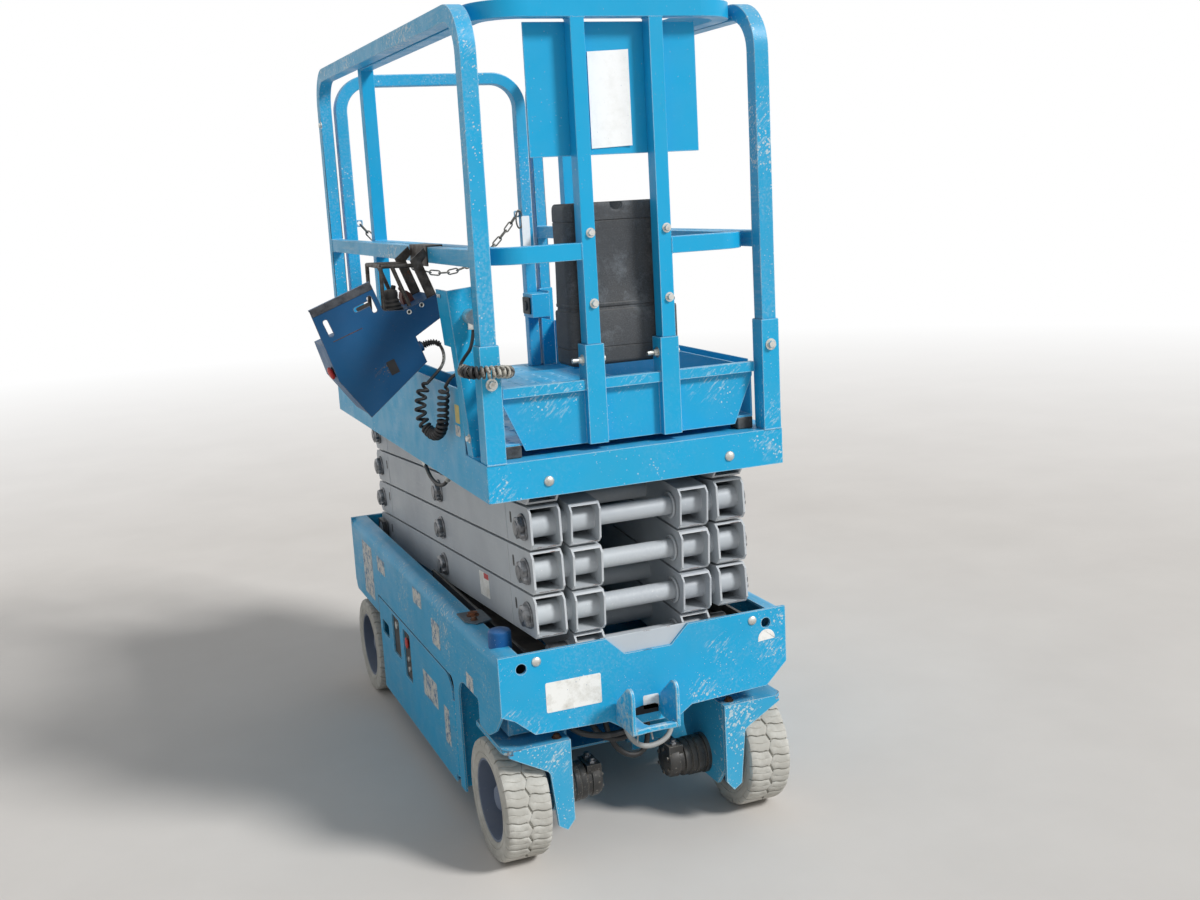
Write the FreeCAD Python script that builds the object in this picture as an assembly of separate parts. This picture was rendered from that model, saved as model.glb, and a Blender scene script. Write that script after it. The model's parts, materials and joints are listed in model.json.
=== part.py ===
import FreeCAD, Part
import math
import os

V = FreeCAD.Vector

# Self-propelled scissor lift, in millimetres, +Z up. The steered end faces -Y, the entry end +Y,
# and "left" is the -X side, which is on the viewer's left when the steered end is in front.

# Chassis, tied to the wheels and the wheelbase
CHASSIS_WIDTH = 755.0
WHEELBASE = 1308.0
TYRE_RADIUS = 152.5
CHASSIS_FRONT = -WHEELBASE / 2 - 146.0
CHASSIS_REAR = WHEELBASE / 2 + 140.0
CHASSIS_TOP = 2 * TYRE_RADIUS + 256.0
CHASSIS_WALL = 6.0
CHASSIS_ROLL_RADIUS = 30.0
CHASSIS_FLANGE = 52.0
CHASSIS_FLOOR_Z = CHASSIS_TOP - 136.0
FRONT_PLATE = 8.0
REAR_PLATE = 8.0
SKIRT_LOW_Z = 80.0
OVER_WHEEL_Z = 2 * TYRE_RADIUS + 13.0
FRONT_SILL_Z = 2 * TYRE_RADIUS + 29.0
CORNER_CUT_Z = CHASSIS_FLOOR_Z - 8.0
FRONT_HOLE_X = CHASSIS_WIDTH / 2 - 55.5
FRONT_HOLE_Z = CHASSIS_TOP - 35.0
FRONT_HOLE_RADIUS = 13.0
NOTCH_HALF_WIDTH = 107.0
NOTCH_DEPTH = 45.0

# Wheels
TYRE_WIDTH = 114.0
RIM_RADIUS = TYRE_RADIUS - 49.5
RIM_WALL = 6.0
WHEEL_OUTER_X = CHASSIS_WIDTH / 2 + 3.5
HUB_RADIUS = 38.0
AXLE_RADIUS = 17.0
WHEEL_GAP = 0.3

# Steering
KINGPIN_X = WHEEL_OUTER_X - 89.0
KINGPIN_RADIUS = 16.0
YOKE_PLATE = 12.0
YOKE_TOP_Z = 2 * TYRE_RADIUS + 7.0
YOKE_HALF_LENGTH = 112.0
YOKE_INNER_X = WHEEL_OUTER_X - 175.0
YOKE_LOW_Z = TYRE_RADIUS - 56.5
MOTOR_RADIUS = 52.0
MOTOR_LENGTH = 118.0
STEER_ARM_LENGTH = 90.0
STEER_RANGE = 38.0
TIE_ROD_RADIUS = 11.0

# Side trays, which swing out about a pin at their front ends
TRAY_FRONT = -WHEELBASE / 2 + 269.0
TRAY_REAR = WHEELBASE / 2 - 199.0
TRAY_TOP_Z = CHASSIS_FLOOR_Z - 50.0
TRAY_LOW_Z = 76.0
TRAY_GAP = 6.0
TRAY_DEPTH = CHASSIS_WIDTH / 2 - 115.5
TRAY_WALL = 5.0
TRAY_PIN_RADIUS = 7.0
TRAY_KNUCKLE_RADIUS = 12.5
TRAY_CORNER_RADIUS = 60.0
TRAY_RANGE = 90.0
BATTERY_ROWS = 3

# Scissor stack
STAGES = 4
ARM_LENGTH = WHEELBASE + 152.0
LEVEL_PITCH = 106.5
LEVEL_ZERO_Z = CHASSIS_TOP - 33.5
STACK_REAR_Y = WHEELBASE / 2 + 59.0
ARM_DEPTH = LEVEL_PITCH - 6.5
ARM_WIDTH = 0.1 * CHASSIS_WIDTH + 0.5
ARM_WALL = 5.0
ARM_OVERHANG = 53.0
ARM_END_CHAMFER = 14.0
TOP_ARM_OVERHANG = 42.0
TOP_ARM_CHAMFER = 24.0
TRACK_ARM_OVERHANG = 36.0
OUTER_ARM_X = CHASSIS_WIDTH / 2 - ARM_WIDTH / 2 - 101.5
INNER_ARM_X = OUTER_ARM_X - ARM_WIDTH - 22.5
BRACE_S = ARM_LENGTH / 2 - 160.0
BOSS_RADIUS = 28.5
BOSS_PROUD = 11.0
SHAFT_RADIUS = 22.5
PIN_GAP = 0.3
NUT_ACROSS_FLATS = 50.0
NUT_THICKNESS = 16.0
WASHER_RADIUS = 32.0
WASHER_THICKNESS = 4.0
LIFT_RANGE = 58.0
ROLLER_RADIUS = 27.0
ROLLER_WIDTH = 46.0
TRACK_PLATE = 8.0
BRACKET_PLATE = 12.0

# Lift cylinder, from the first inner arms to the third
CYLINDER_FOOT_S = ARM_LENGTH / 2 - 130.0
CYLINDER_HEAD_S = -ARM_LENGTH / 2 + 330.0
BARREL_RADIUS = 44.0
BARREL_LENGTH = ARM_LENGTH - 680.0
ROD_RADIUS = 24.0
EYE_RADIUS = 34.0
EYE_WIDTH = 60.0
CYLINDER_PIN_RADIUS = 18.0

# Platform
DECK_TOP_Z = LEVEL_ZERO_Z + STAGES * LEVEL_PITCH + 62.0
DECK_SHEET = 3.0
DECK_WIDTH = CHASSIS_WIDTH - 4.0
DECK_FRONT = CHASSIS_FRONT - 14.5
DECK_REAR = CHASSIS_REAR + 26.0
SKIRT_BOTTOM_Z = DECK_TOP_Z - 87.5
SKIRT_WALL = 5.0
TOE_BOARD_Z = DECK_TOP_Z + 152.5
TOE_BOARD_SHEET = 4.0
TOE_BOARD_FRONT = DECK_FRONT + 159.5
TOE_BOARD_REAR = DECK_REAR - 89.0
RAIL = 38.0
SOCKET_WALL = 4.0
SOCKET_TOP_Z = DECK_TOP_Z + 265.5
RAIL_TOP_Z = DECK_TOP_Z + 996.5
MID_RAIL_TOP_Z = DECK_TOP_Z + 473.5
RAIL_BEND = 95.0
MAIN_RAIL_X = DECK_WIDTH / 2 - 21.5
FRONT_POST_Y = DECK_FRONT + RAIL / 2 + SOCKET_WALL
REAR_POST_Y = DECK_REAR - 64.0
REAR_RAIL_X = MAIN_RAIL_X - 54.0

# Entry chain: welded links hung from an eye on each rear post
CHAIN_END_Z = MID_RAIL_TOP_Z + 46.0
CHAIN_SAG = 174.0
CHAIN_LINKS = 21
CHAIN_WIRE = 5.0
CHAIN_LINK_WIDTH = 20.0
CHAIN_SLACK = 0.7
CHAIN_EYE = 11.0
CHAIN_EYE_HOLE = 7.0

# Control box on the left mid rail, tilted with its right end up
CONTROL_CORNER_X = -MAIN_RAIL_X - 311.0
CONTROL_CORNER_Z = MID_RAIL_TOP_Z - 129.0
CONTROL_TILT = 21.0
CONTROL_FRONT = DECK_FRONT + 384.5
CONTROL_DEPTH = 165.0
CONTROL_SHEET = 4.0
CHANNEL_FRONT = DECK_FRONT + 110.5

# Curly cord, from the control box's gland to the connector on the channel. Each point is measured
# from the foot of the left front post: x, y, z, and whether the cord is coiled there or straight.
COIL_RADIUS = 15.0
WIRE_RADIUS = 4.5
CORD_POINTS = [
    (-44.6, 379.5, 236.2, "wire"), (-10.0, 379.0, 249.0, "wire"), (12.0, 355.5, 230.5, "wire"),
    (5.0, 324.5, 198.5, "wire"), (-28.0, 308.5, 170.5, "wire"), (-61.0, 305.5, 134.5, "coil"),
    (-71.0, 304.5, 86.5, "coil"), (-68.0, 302.5, 54.5, "coil"), (-61.0, 288.5, 28.5, "coil"),
    (-55.0, 262.5, 17.5, "coil"), (-50.0, 236.5, 28.5, "coil"), (-47.0, 221.5, 54.5, "coil"),
    (-46.0, 217.5, 88.5, "coil"), (-45.0, 209.5, 130.5, "coil"), (-36.0, 190.5, 170.5, "wire"),
    (-16.0, 162.5, 191.5, "wire"), (12.0, 134.5, 196.5, "wire"), (36.0, 99.5, 197.5, "coil"),
    (50.0, 54.5, 197.0, "coil"), (53.5, 3.5, 196.5, "coil"), (45.0, -45.5, 196.5, "coil"),
    (5.0, -61.5, 197.5, "coil"), (-41.0, -53.5, 199.5, "coil"), (-58.0, -14.5, 202.5, "coil"),
    (-54.0, 26.5, 209.5, "wire"), (-34.0, 53.5, 226.5, "wire"), (-12.0, 61.5, 258.5, "wire"),
    (-7.0, 63.5, 296.5, "wire"),
]

# Roll-out extension
EXTENSION_RANGE = 900.0
EXTENSION_FRONT = DECK_FRONT + 42.5
EXTENSION_REAR = DECK_REAR - 448.0
EXTENSION_HALF_WIDTH = MAIN_RAIL_X - 36.0
EXTENSION_DECK_Z = DECK_TOP_Z + 28.5
EXTENSION_SHEET = 5.0
EXTENSION_RAIL_X = MAIN_RAIL_X - 52.0
EXTENSION_POST_X = 94.0
EXTENSION_REAR_POST_Y = EXTENSION_REAR - 22.0
FRONT_TOE_TOP_Z = DECK_TOP_Z + 164.5
FRONT_TOE_LOW_Z = DECK_TOP_Z + 15.5
SLIDE_BLOCK = 42.0
SLIDE_GAP = 0.3


def box(x0, x1, y0, y1, z0, z1):
    """A block between opposite corners."""
    return Part.makeBox(x1 - x0, y1 - y0, z1 - z0, V(x0, y0, z0))


def tube_x(radius, x0, x1, y, z):
    """A round bar along X."""
    return Part.makeCylinder(radius, x1 - x0, V(x0, y, z), V(1, 0, 0))


def bar_y(radius, x, y0, y1, z):
    """A round bar along Y."""
    return Part.makeCylinder(radius, y1 - y0, V(x, y0, z), V(0, 1, 0))


def post_z(radius, x, y, z0, z1):
    """A round bar along Z."""
    return Part.makeCylinder(radius, z1 - z0, V(x, y, z0), V(0, 0, 1))


def rod_between(radius, start, end):
    """A round bar from one point to another."""
    along = end.sub(start)
    return Part.makeCylinder(radius, along.Length, start, along)


def outline_face(corners, place):
    """A flat face through corners (a, b) or (a, b, radius of the corner); place gives each point."""
    edges = []
    count = len(corners)
    spans = []
    for i, corner in enumerate(corners):
        here = place(corner[0], corner[1])
        before = place(*corners[i - 1][:2])
        after = place(*corners[(i + 1) % count][:2])
        if len(corner) == 2:
            spans.append((here, None, here))
            continue
        into = here.sub(before).normalize()
        out = after.sub(here).normalize()
        half_turn = into.getAngle(out) / 2
        reach = corner[2] * math.tan(half_turn)
        inward = out.sub(into).normalize()
        centre = here.add(V(inward).multiply(corner[2] / math.cos(half_turn)))
        spans.append((here.sub(V(into).multiply(reach)), centre.sub(V(inward).multiply(corner[2])),
                      here.add(V(out).multiply(reach))))
    for i, (start, middle, end) in enumerate(spans):
        if middle is not None:
            edges.append(Part.Arc(start, middle, end).toShape())
        following = spans[(i + 1) % count][0]
        if following.sub(end).Length > 1e-3:
            edges.append(Part.LineSegment(end, following).toShape())
    return Part.Face(Part.Wire(edges))


def plate_yz(points, x0, x1):
    """A plate whose outline is a list of (y, z) or (y, z, radius), from x0 to x1."""
    return outline_face(points, lambda y, z: V(x0, y, z)).extrude(V(x1 - x0, 0, 0))


def plate_xz(points, y0, y1):
    """A plate whose outline is a list of (x, z) or (x, z, radius), from y0 to y1."""
    return outline_face(points, lambda x, z: V(x, y0, z)).extrude(V(0, y1 - y0, 0))


def plate_xy(points, z0, z1):
    """A plate whose outline is a list of (x, y) or (x, y, radius), from z0 to z1."""
    return outline_face(points, lambda x, y: V(x, y, z0)).extrude(V(0, 0, z1 - z0))


def mirror_x(shape):
    """The same piece on the other side of the centreline."""
    return shape.mirror(V(0, 0, 0), V(1, 0, 0))


def on_side(side, shape):
    """A piece drawn on the +X side, put on the side asked for (+1 or -1)."""
    return shape if side > 0 else mirror_x(shape)


def both_sides(shape):
    """A piece and its mirror image."""
    return [shape, mirror_x(shape)]


def fused(shapes):
    """One solid of pieces that touch."""
    first, rest = shapes[0], shapes[1:]
    whole = first.fuse(rest) if rest else first
    return whole.removeSplitter()


def rolled(points, radius):
    """Polyline corners rounded to arcs of one radius, as a wire for a bent tube."""
    edges = []
    last = points[0]
    for before, corner, after in zip(points, points[1:], points[2:]):
        into = corner.sub(before).normalize()
        out = after.sub(corner).normalize()
        turn = into.getAngle(out)
        reach = radius * math.tan(turn / 2)
        start = corner.sub(V(into).multiply(reach))
        end = corner.add(V(out).multiply(reach))
        towards = out.sub(into).normalize()
        centre = corner.add(V(towards).multiply(radius / math.cos(turn / 2)))
        middle = centre.sub(V(towards).multiply(radius))
        if start.sub(last).Length > 1e-3:
            edges.append(Part.LineSegment(last, start).toShape())
        edges.append(Part.Arc(start, middle, end).toShape())
        last = end
    edges.append(Part.LineSegment(last, points[-1]).toShape())
    return Part.Wire(edges)


def bent_bar(points, radius, across, width, depth=None):
    """A rectangular bar bent along a planar polyline.

    across is the normal of the plane in which the bar bends, width its size along that normal,
    and depth its size in the plane.
    """
    depth = width if depth is None else depth
    path = rolled(points, radius)
    along = points[1].sub(points[0]).normalize()
    side = along.cross(across).normalize()
    corners = []
    for a, b in ((-1, -1), (1, -1), (1, 1), (-1, 1)):
        offset = V(across).multiply(a * width / 2).add(V(side).multiply(b * depth / 2))
        corners.append(points[0].add(offset))
    profile = Part.makePolygon(corners + corners[:1])
    return path.makePipeShell([profile], True, False)


def tilt():
    """Angle of the arms from level when the stack is down, in radians."""
    return math.asin(LEVEL_PITCH / ARM_LENGTH)


def stack_front_y():
    """Y of the front pins when the stack is down."""
    return STACK_REAR_Y - ARM_LENGTH * math.cos(tilt())


def stack_middle_y():
    """Y of the centre pins when the stack is down."""
    return (STACK_REAR_Y + stack_front_y()) / 2


def level_z(level):
    """Height of the end pins at a level of the stack, 0 at the chassis."""
    return LEVEL_ZERO_Z + level * LEVEL_PITCH


def track_end_y():
    """Y to which the roller tracks reach, just past the rollers of the raised stack."""
    return STACK_REAR_Y - ARM_LENGTH * math.cos(tilt() + math.radians(LIFT_RANGE)) + 2 * ROLLER_RADIUS


def stage_z(stage):
    """Height of the centre pins of a stage, 1 at the bottom."""
    return LEVEL_ZERO_Z + (stage - 0.5) * LEVEL_PITCH


def on_inner_arm(stage, s):
    """(y, z) of a point on an inner arm's centre line, s from its centre pin towards the rear."""
    angle = tilt()
    return stack_middle_y() + s * math.cos(angle), stage_z(stage) + s * math.sin(angle)


def place_arm(shape, stage, rises):
    """Turns an arm drawn level about the origin to its slope and moves it to its stage.

    rises is "front" for an outer arm and "rear" for an inner one.
    """
    angle = math.degrees(tilt()) * (1 if rises == "rear" else -1)
    shape.rotate(V(0, 0, 0), V(1, 0, 0), angle)
    shape.translate(V(0, stack_middle_y(), stage_z(stage)))
    return shape


ARM_END = (ARM_OVERHANG, ARM_END_CHAMFER)
TOP_ARM_END = (TOP_ARM_OVERHANG, TOP_ARM_CHAMFER)
TRACK_ARM_END = (TRACK_ARM_OVERHANG, ARM_END_CHAMFER)


def arm_tube(x_mid, front_end=ARM_END, rear_end=ARM_END):
    """One box-section arm, level and centred on the origin's Y and Z, open at both ends.

    Each end is (its overhang past the end pin, the chamfer of its upper corner).
    """
    half, pitch = ARM_WIDTH / 2, ARM_LENGTH / 2
    up, cut = ARM_DEPTH / 2, ARM_END_CHAMFER
    y0, y1 = -pitch - front_end[0], pitch + rear_end[0]
    outline = [(y0, -up + cut), (y0 + cut, -up), (y1 - cut, -up), (y1, -up + cut),
               (y1, up - rear_end[1]), (y1 - rear_end[1], up), (y0 + front_end[1], up),
               (y0, up - front_end[1])]
    bar = plate_yz(outline, x_mid - half, x_mid + half)
    hollow = box(x_mid - half + ARM_WALL, x_mid + half - ARM_WALL, y0 - 1, y1 + 1,
                 -up + ARM_WALL, up - ARM_WALL)
    return bar.cut(hollow)


def outer_arm(stage):
    """A pair of outer arms with the cross shafts and stub pins that are fixed in them."""
    half = ARM_WIDTH / 2
    pieces = [arm_tube(OUTER_ARM_X, front_end=TOP_ARM_END if stage == STAGES else ARM_END)]
    for s in (-ARM_LENGTH / 2, 0, ARM_LENGTH / 2):
        pieces.append(tube_x(BOSS_RADIUS, OUTER_ARM_X - half - BOSS_PROUD, OUTER_ARM_X + half, s, 0))
    stub_end = INNER_ARM_X - half - BOSS_PROUD / 2
    pieces.append(tube_x(SHAFT_RADIUS, stub_end, OUTER_ARM_X, 0, 0))
    side = fused(pieces)
    shafts = []
    for s in (-ARM_LENGTH / 2, ARM_LENGTH / 2):
        if stage == STAGES and s < 0:
            shafts.append(roller_shaft(s, OUTER_ARM_X + half))
        else:
            shafts.append(tube_x(SHAFT_RADIUS, -OUTER_ARM_X, OUTER_ARM_X, s, 0))
    if stage == 1:
        shafts.append(tube_x(SHAFT_RADIUS, -pivot_reach(), pivot_reach(), ARM_LENGTH / 2, 0))
    whole = fused([side, mirror_x(side)] + shafts)
    return place_arm(whole, stage, "front")


def roller_shaft(s, inner):
    """A cross shaft whose ends stick out past the arms to carry rollers."""
    reach = inner + BOSS_PROUD + PIN_GAP + ROLLER_WIDTH
    return tube_x(SHAFT_RADIUS, -reach, reach, s, 0)


def pivot_reach():
    """Half length of the shaft that pivots the first outer arms on the chassis."""
    return OUTER_ARM_X + ARM_WIDTH / 2 + 6.0 + BRACKET_PLATE


def inner_arm(stage):
    """A pair of inner arms with bored bosses, joined by sleeves round the cross shafts."""
    half = ARM_WIDTH / 2
    face = OUTER_ARM_X - half - BOSS_PROUD - PIN_GAP
    pieces = [arm_tube(INNER_ARM_X, front_end=TRACK_ARM_END if stage == 1 else ARM_END,
                       rear_end=TOP_ARM_END if stage == STAGES else ARM_END)]
    for s in (-ARM_LENGTH / 2, 0, ARM_LENGTH / 2):
        pieces.append(tube_x(BOSS_RADIUS, INNER_ARM_X - half - 4.0, face, s, 0))
    side = fused(pieces)
    joined = [side, mirror_x(side)]
    brace = INNER_ARM_X - half + 1.0
    braces = {1: [-BRACE_S], 3: [BRACE_S]}.get(stage, [-BRACE_S, BRACE_S])
    for s in braces:
        joined.append(tube_x(SHAFT_RADIUS, -brace, brace, s, 0))
    if stage == 1:
        joined.append(tube_x(CYLINDER_PIN_RADIUS, -brace, brace, CYLINDER_FOOT_S, 0))
    if stage == 3:
        lug = EYE_WIDTH / 2 + 2.0
        joined += both_sides(tube_x(SHAFT_RADIUS, lug, brace, CYLINDER_HEAD_S, 0))
    whole = fused(joined)
    for s in (-ARM_LENGTH / 2, 0, ARM_LENGTH / 2):
        if not (stage == 1 and s < 0):
            whole = whole.cut(tube_x(SHAFT_RADIUS + PIN_GAP, -face - 5, face + 5, s, 0))
    if stage == 1:
        whole = fused([whole, roller_shaft(-ARM_LENGTH / 2, INNER_ARM_X + half)])
    return place_arm(whole, stage, "rear")


def rollers(stage):
    """The pair of rollers at the low front end of the first stage or the top one of the last."""
    half = ARM_WIDTH / 2
    inner = (INNER_ARM_X if stage == 1 else OUTER_ARM_X) + half + BOSS_PROUD + PIN_GAP
    y, z = stack_front_y(), level_z(0 if stage == 1 else STAGES)
    ring = tube_x(ROLLER_RADIUS, inner, inner + ROLLER_WIDTH, y, z)
    ring = ring.cut(tube_x(SHAFT_RADIUS, inner - 1, inner + ROLLER_WIDTH + 1, y, z))
    return both_sides(ring)


def hex_nut(x0, y, z):
    """A hexagonal nut on the outside of an arm, its axis along X."""
    corner = NUT_ACROSS_FLATS / math.sqrt(3)
    points = [(y + corner * math.cos(math.radians(60 * i)), z + corner * math.sin(math.radians(60 * i)))
              for i in range(6)]
    return plate_yz(points, x0, x0 + NUT_THICKNESS)


def pivot_nuts(stage):
    """Nuts and washers on the outer faces of a pair of outer arms."""
    outer = OUTER_ARM_X + ARM_WIDTH / 2
    ends = [(stack_front_y(), level_z(stage)), (stack_middle_y(), stage_z(stage)),
            (STACK_REAR_Y, level_z(stage - 1))]
    if stage == 1:
        ends = ends[:2]
    if stage == STAGES:
        ends = ends[1:]
    solids = []
    for y, z in ends:
        washer = tube_x(WASHER_RADIUS, outer, outer + WASHER_THICKNESS, y, z)
        solids += both_sides(fused([washer, hex_nut(outer + WASHER_THICKNESS, y, z)]))
    return solids


def cylinder_ends():
    """The lift cylinder's foot and head pins as vectors, with the stack down."""
    foot_y, foot_z = on_inner_arm(1, CYLINDER_FOOT_S)
    head_y, head_z = on_inner_arm(3, CYLINDER_HEAD_S)
    return V(0, foot_y, foot_z), V(0, head_y, head_z)


def eye(at):
    """A round eye across the cylinder's axis, bored for its pin."""
    ring = tube_x(EYE_RADIUS, -EYE_WIDTH / 2, EYE_WIDTH / 2, at.y, at.z)
    return ring.cut(tube_x(CYLINDER_PIN_RADIUS + PIN_GAP, -EYE_WIDTH, EYE_WIDTH, at.y, at.z))


def lift_barrel():
    """The lift cylinder's barrel with its foot eye and gland."""
    foot, head = cylinder_ends()
    along = head.sub(foot).normalize()
    start = foot.add(V(along).multiply(EYE_RADIUS - 6))
    tube = Part.makeCylinder(BARREL_RADIUS, BARREL_LENGTH - EYE_RADIUS, start, along)
    bore = Part.makeCylinder(ROD_RADIUS + PIN_GAP, BARREL_LENGTH, start.add(V(along).multiply(20)), along)
    return fused([tube.cut(bore), eye(foot)]).cut(
        tube_x(CYLINDER_PIN_RADIUS + PIN_GAP, -EYE_WIDTH, EYE_WIDTH, foot.y, foot.z))


def lift_rod():
    """The lift cylinder's rod with its head eye."""
    foot, head = cylinder_ends()
    along = head.sub(foot).normalize()
    start = foot.add(V(along).multiply(EYE_RADIUS + 40))
    reach = head.sub(start).Length - EYE_RADIUS + 6
    rod = Part.makeCylinder(ROD_RADIUS, reach, start, along)
    return fused([rod, eye(head)]).cut(
        tube_x(CYLINDER_PIN_RADIUS + PIN_GAP, -EYE_WIDTH, EYE_WIDTH, head.y, head.z))


def side_outline():
    """(y, z) outline of a chassis side wall, with the front wheel arch and the tray opening."""
    arch_rear, arch_front = -WHEELBASE / 2 + 220.0, -WHEELBASE / 2 + 40.0
    arch_top = CHASSIS_FLOOR_Z - 25.0
    tray_rear, tray_front = TRAY_REAR + TRAY_GAP, TRAY_FRONT - TRAY_GAP
    front, rear = CHASSIS_FRONT + FRONT_PLATE, CHASSIS_REAR - REAR_PLATE
    return [
        (front, CHASSIS_TOP), (rear, CHASSIS_TOP), (rear, OVER_WHEEL_Z, 25.0),
        (tray_rear, OVER_WHEEL_Z), (tray_rear, TRAY_TOP_Z + TRAY_GAP, 12.0),
        (tray_front, TRAY_TOP_Z + TRAY_GAP, 24.0),
        (tray_front, SKIRT_LOW_Z), (arch_rear, SKIRT_LOW_Z), (arch_rear, arch_top, 60.0),
        (arch_front, arch_top, 8.0), (arch_front, FRONT_SILL_Z, 8.0),
        (CHASSIS_FRONT + 110, FRONT_SILL_Z, 60.0), (CHASSIS_FRONT + 55, FRONT_SILL_Z + 30.0, 60.0),
        (front, CORNER_CUT_Z - 7.0),
    ]


def side_wall():
    """The +X side wall, its top edge rolled inwards to a flange."""
    outer, roll = CHASSIS_WIDTH / 2, CHASSIS_ROLL_RADIUS
    low, top, wall = 0.0, CHASSIS_TOP, CHASSIS_WALL
    middle = math.sqrt(0.5)
    y0 = CHASSIS_FRONT

    def corner(radius):
        cx, cz = outer - roll, top - roll
        return (V(cx + radius, y0, cz), V(cx + radius * middle, y0, cz + radius * middle),
                V(cx, y0, cz + radius))

    a, b, c = corner(roll)
    d, e, f = corner(roll - wall)
    edge = outer - CHASSIS_FLANGE
    edges = [
        Part.LineSegment(V(outer, y0, low), a).toShape(), Part.Arc(a, b, c).toShape(),
        Part.LineSegment(c, V(edge, y0, top)).toShape(),
        Part.LineSegment(V(edge, y0, top), V(edge, y0, top - wall)).toShape(),
        Part.LineSegment(V(edge, y0, top - wall), f).toShape(), Part.Arc(f, e, d).toShape(),
        Part.LineSegment(d, V(outer - wall, y0, low)).toShape(),
        Part.LineSegment(V(outer - wall, y0, low), V(outer, y0, low)).toShape(),
    ]
    sheet = Part.Face(Part.Wire(edges)).extrude(V(0, CHASSIS_REAR - CHASSIS_FRONT, 0))
    return sheet.common(plate_yz(side_outline(), edge - 1, outer + 1))


def front_plate():
    """The front plate, with the notch in its top edge and the round holes."""
    half, top = CHASSIS_WIDTH / 2, CHASSIS_TOP
    notch_top, notch_low = NOTCH_HALF_WIDTH, NOTCH_HALF_WIDTH - 46.0
    sill = CORNER_CUT_Z - 63.0
    outline = [
        (-half, top), (-notch_top, top), (-notch_low, top - NOTCH_DEPTH), (notch_low, top - NOTCH_DEPTH),
        (notch_top, top), (half, top), (half, CORNER_CUT_Z), (half - 57.5, sill + 8.0), (110, sill),
        (78, sill - 21.0), (-78, sill - 21.0), (-110, sill), (-half + 80.5, sill + 6.0),
        (-half + 31.5, CORNER_CUT_Z - 15.0), (-half, CORNER_CUT_Z),
    ]
    y0, y1 = CHASSIS_FRONT, CHASSIS_FRONT + FRONT_PLATE
    plate = plate_xz(outline, y0, y1)
    for x in (-FRONT_HOLE_X, FRONT_HOLE_X):
        plate = plate.cut(bar_y(FRONT_HOLE_RADIUS, x, y0 - 1, y1 + 1, FRONT_HOLE_Z))
    return plate


def front_bulkhead_y():
    """Y of the front face of the wall in front of the trays."""
    return TRAY_FRONT - TRAY_GAP - 14.0


def chassis_frame():
    """The chassis weldment, plate by plate: side walls, end plates, floor, spine and bulkheads."""
    half = CHASSIS_WIDTH / 2
    inside = half - CHASSIS_WALL
    spine_x = inside - TRAY_DEPTH
    front, rear = CHASSIS_FRONT + FRONT_PLATE, CHASSIS_REAR - REAR_PLATE
    floor_low = CHASSIS_FLOOR_Z - CHASSIS_WALL
    spine_front, spine_rear, spine_low = -WHEELBASE / 2 + 184.0, WHEELBASE / 2 - 94.0, 150.0
    web = CHASSIS_WALL
    plates = both_sides(side_wall())
    plates.append(front_plate())
    plates.append(box(-half, half, rear, CHASSIS_REAR, OVER_WHEEL_Z + 25, CHASSIS_TOP))
    plates.append(box(-inside, inside, front, rear, floor_low, CHASSIS_FLOOR_Z))
    plates.append(box(-spine_x, spine_x, spine_front, spine_rear, spine_low, spine_low + web))
    plates += both_sides(box(spine_x - web, spine_x, spine_front, spine_rear, spine_low + web, floor_low))
    for y, low in ((front_bulkhead_y(), SKIRT_LOW_Z), (TRAY_REAR + TRAY_GAP + 6, SKIRT_LOW_Z + 30)):
        plates += both_sides(box(spine_x, inside, y, y + web, low, floor_low))
    beam_rear, beam_top = WHEELBASE / 2 + 45, TYRE_RADIUS + 47.5
    plates.append(box(-rear_beam_x(), rear_beam_x(), WHEELBASE / 2 - 45, beam_rear, beam_top - 90, beam_top))
    plates.append(box(-spine_x - 40, spine_x + 40, spine_rear, beam_rear, beam_top, floor_low))
    return plates


def rear_beam_x():
    """Half length of the beam between the rear wheels."""
    return WHEEL_OUTER_X - 171.0


def kingpin_brackets():
    """Plates under the floor that hold the kingpins, one each side."""
    solids = []
    for side in (1, -1):
        x = KINGPIN_X
        pad = box(x - 45, x + 45, -WHEELBASE / 2 - 60, -WHEELBASE / 2 + 44, YOKE_TOP_Z + YOKE_PLATE + 8,
                  CHASSIS_FLOOR_Z - CHASSIS_WALL)
        pin = post_z(KINGPIN_RADIUS, x, -WHEELBASE / 2, YOKE_TOP_Z - 1, YOKE_TOP_Z + YOKE_PLATE + 10)
        solids.append(on_side(side, fused([pad, pin])))
    return solids


def front_tie_down():
    """The tie-down bracket on the front plate: two ears and a bottom plate with an opening."""
    y1, low = CHASSIS_FRONT, CORNER_CUT_Z - 117.0
    left, right = -92, 32
    ears = []
    for x in (left, right - 10):
        ears.append(plate_yz([(y1, low + 32), (y1 - 70, low), (y1 - 100, low), (y1 - 100, low + 120, 12.0),
                              (y1 - 80, low + 148, 12.0), (y1, low + 100)], x, x + 10))
    sill = plate_xy([(left, y1), (left, y1 - 100), (left + 20, y1 - 100), (left + 36, y1 - 82, 6.0),
                     (left + 52, y1 - 94, 6.0), (right - 52, y1 - 94, 6.0), (right - 36, y1 - 82, 6.0),
                     (right - 20, y1 - 100), (right, y1 - 100), (right, y1)], low, low + 10)
    sill = sill.cut(plate_xy([(left + 26, y1 - 70, 8.0), (right - 26, y1 - 70, 8.0), (right - 26, y1 - 30, 8.0),
                              (left + 26, y1 - 30, 8.0)], low - 1, low + 11))
    back = box(left, right, y1 - 10, y1, low, low + 34)
    return fused(ears + [sill, back])


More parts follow.
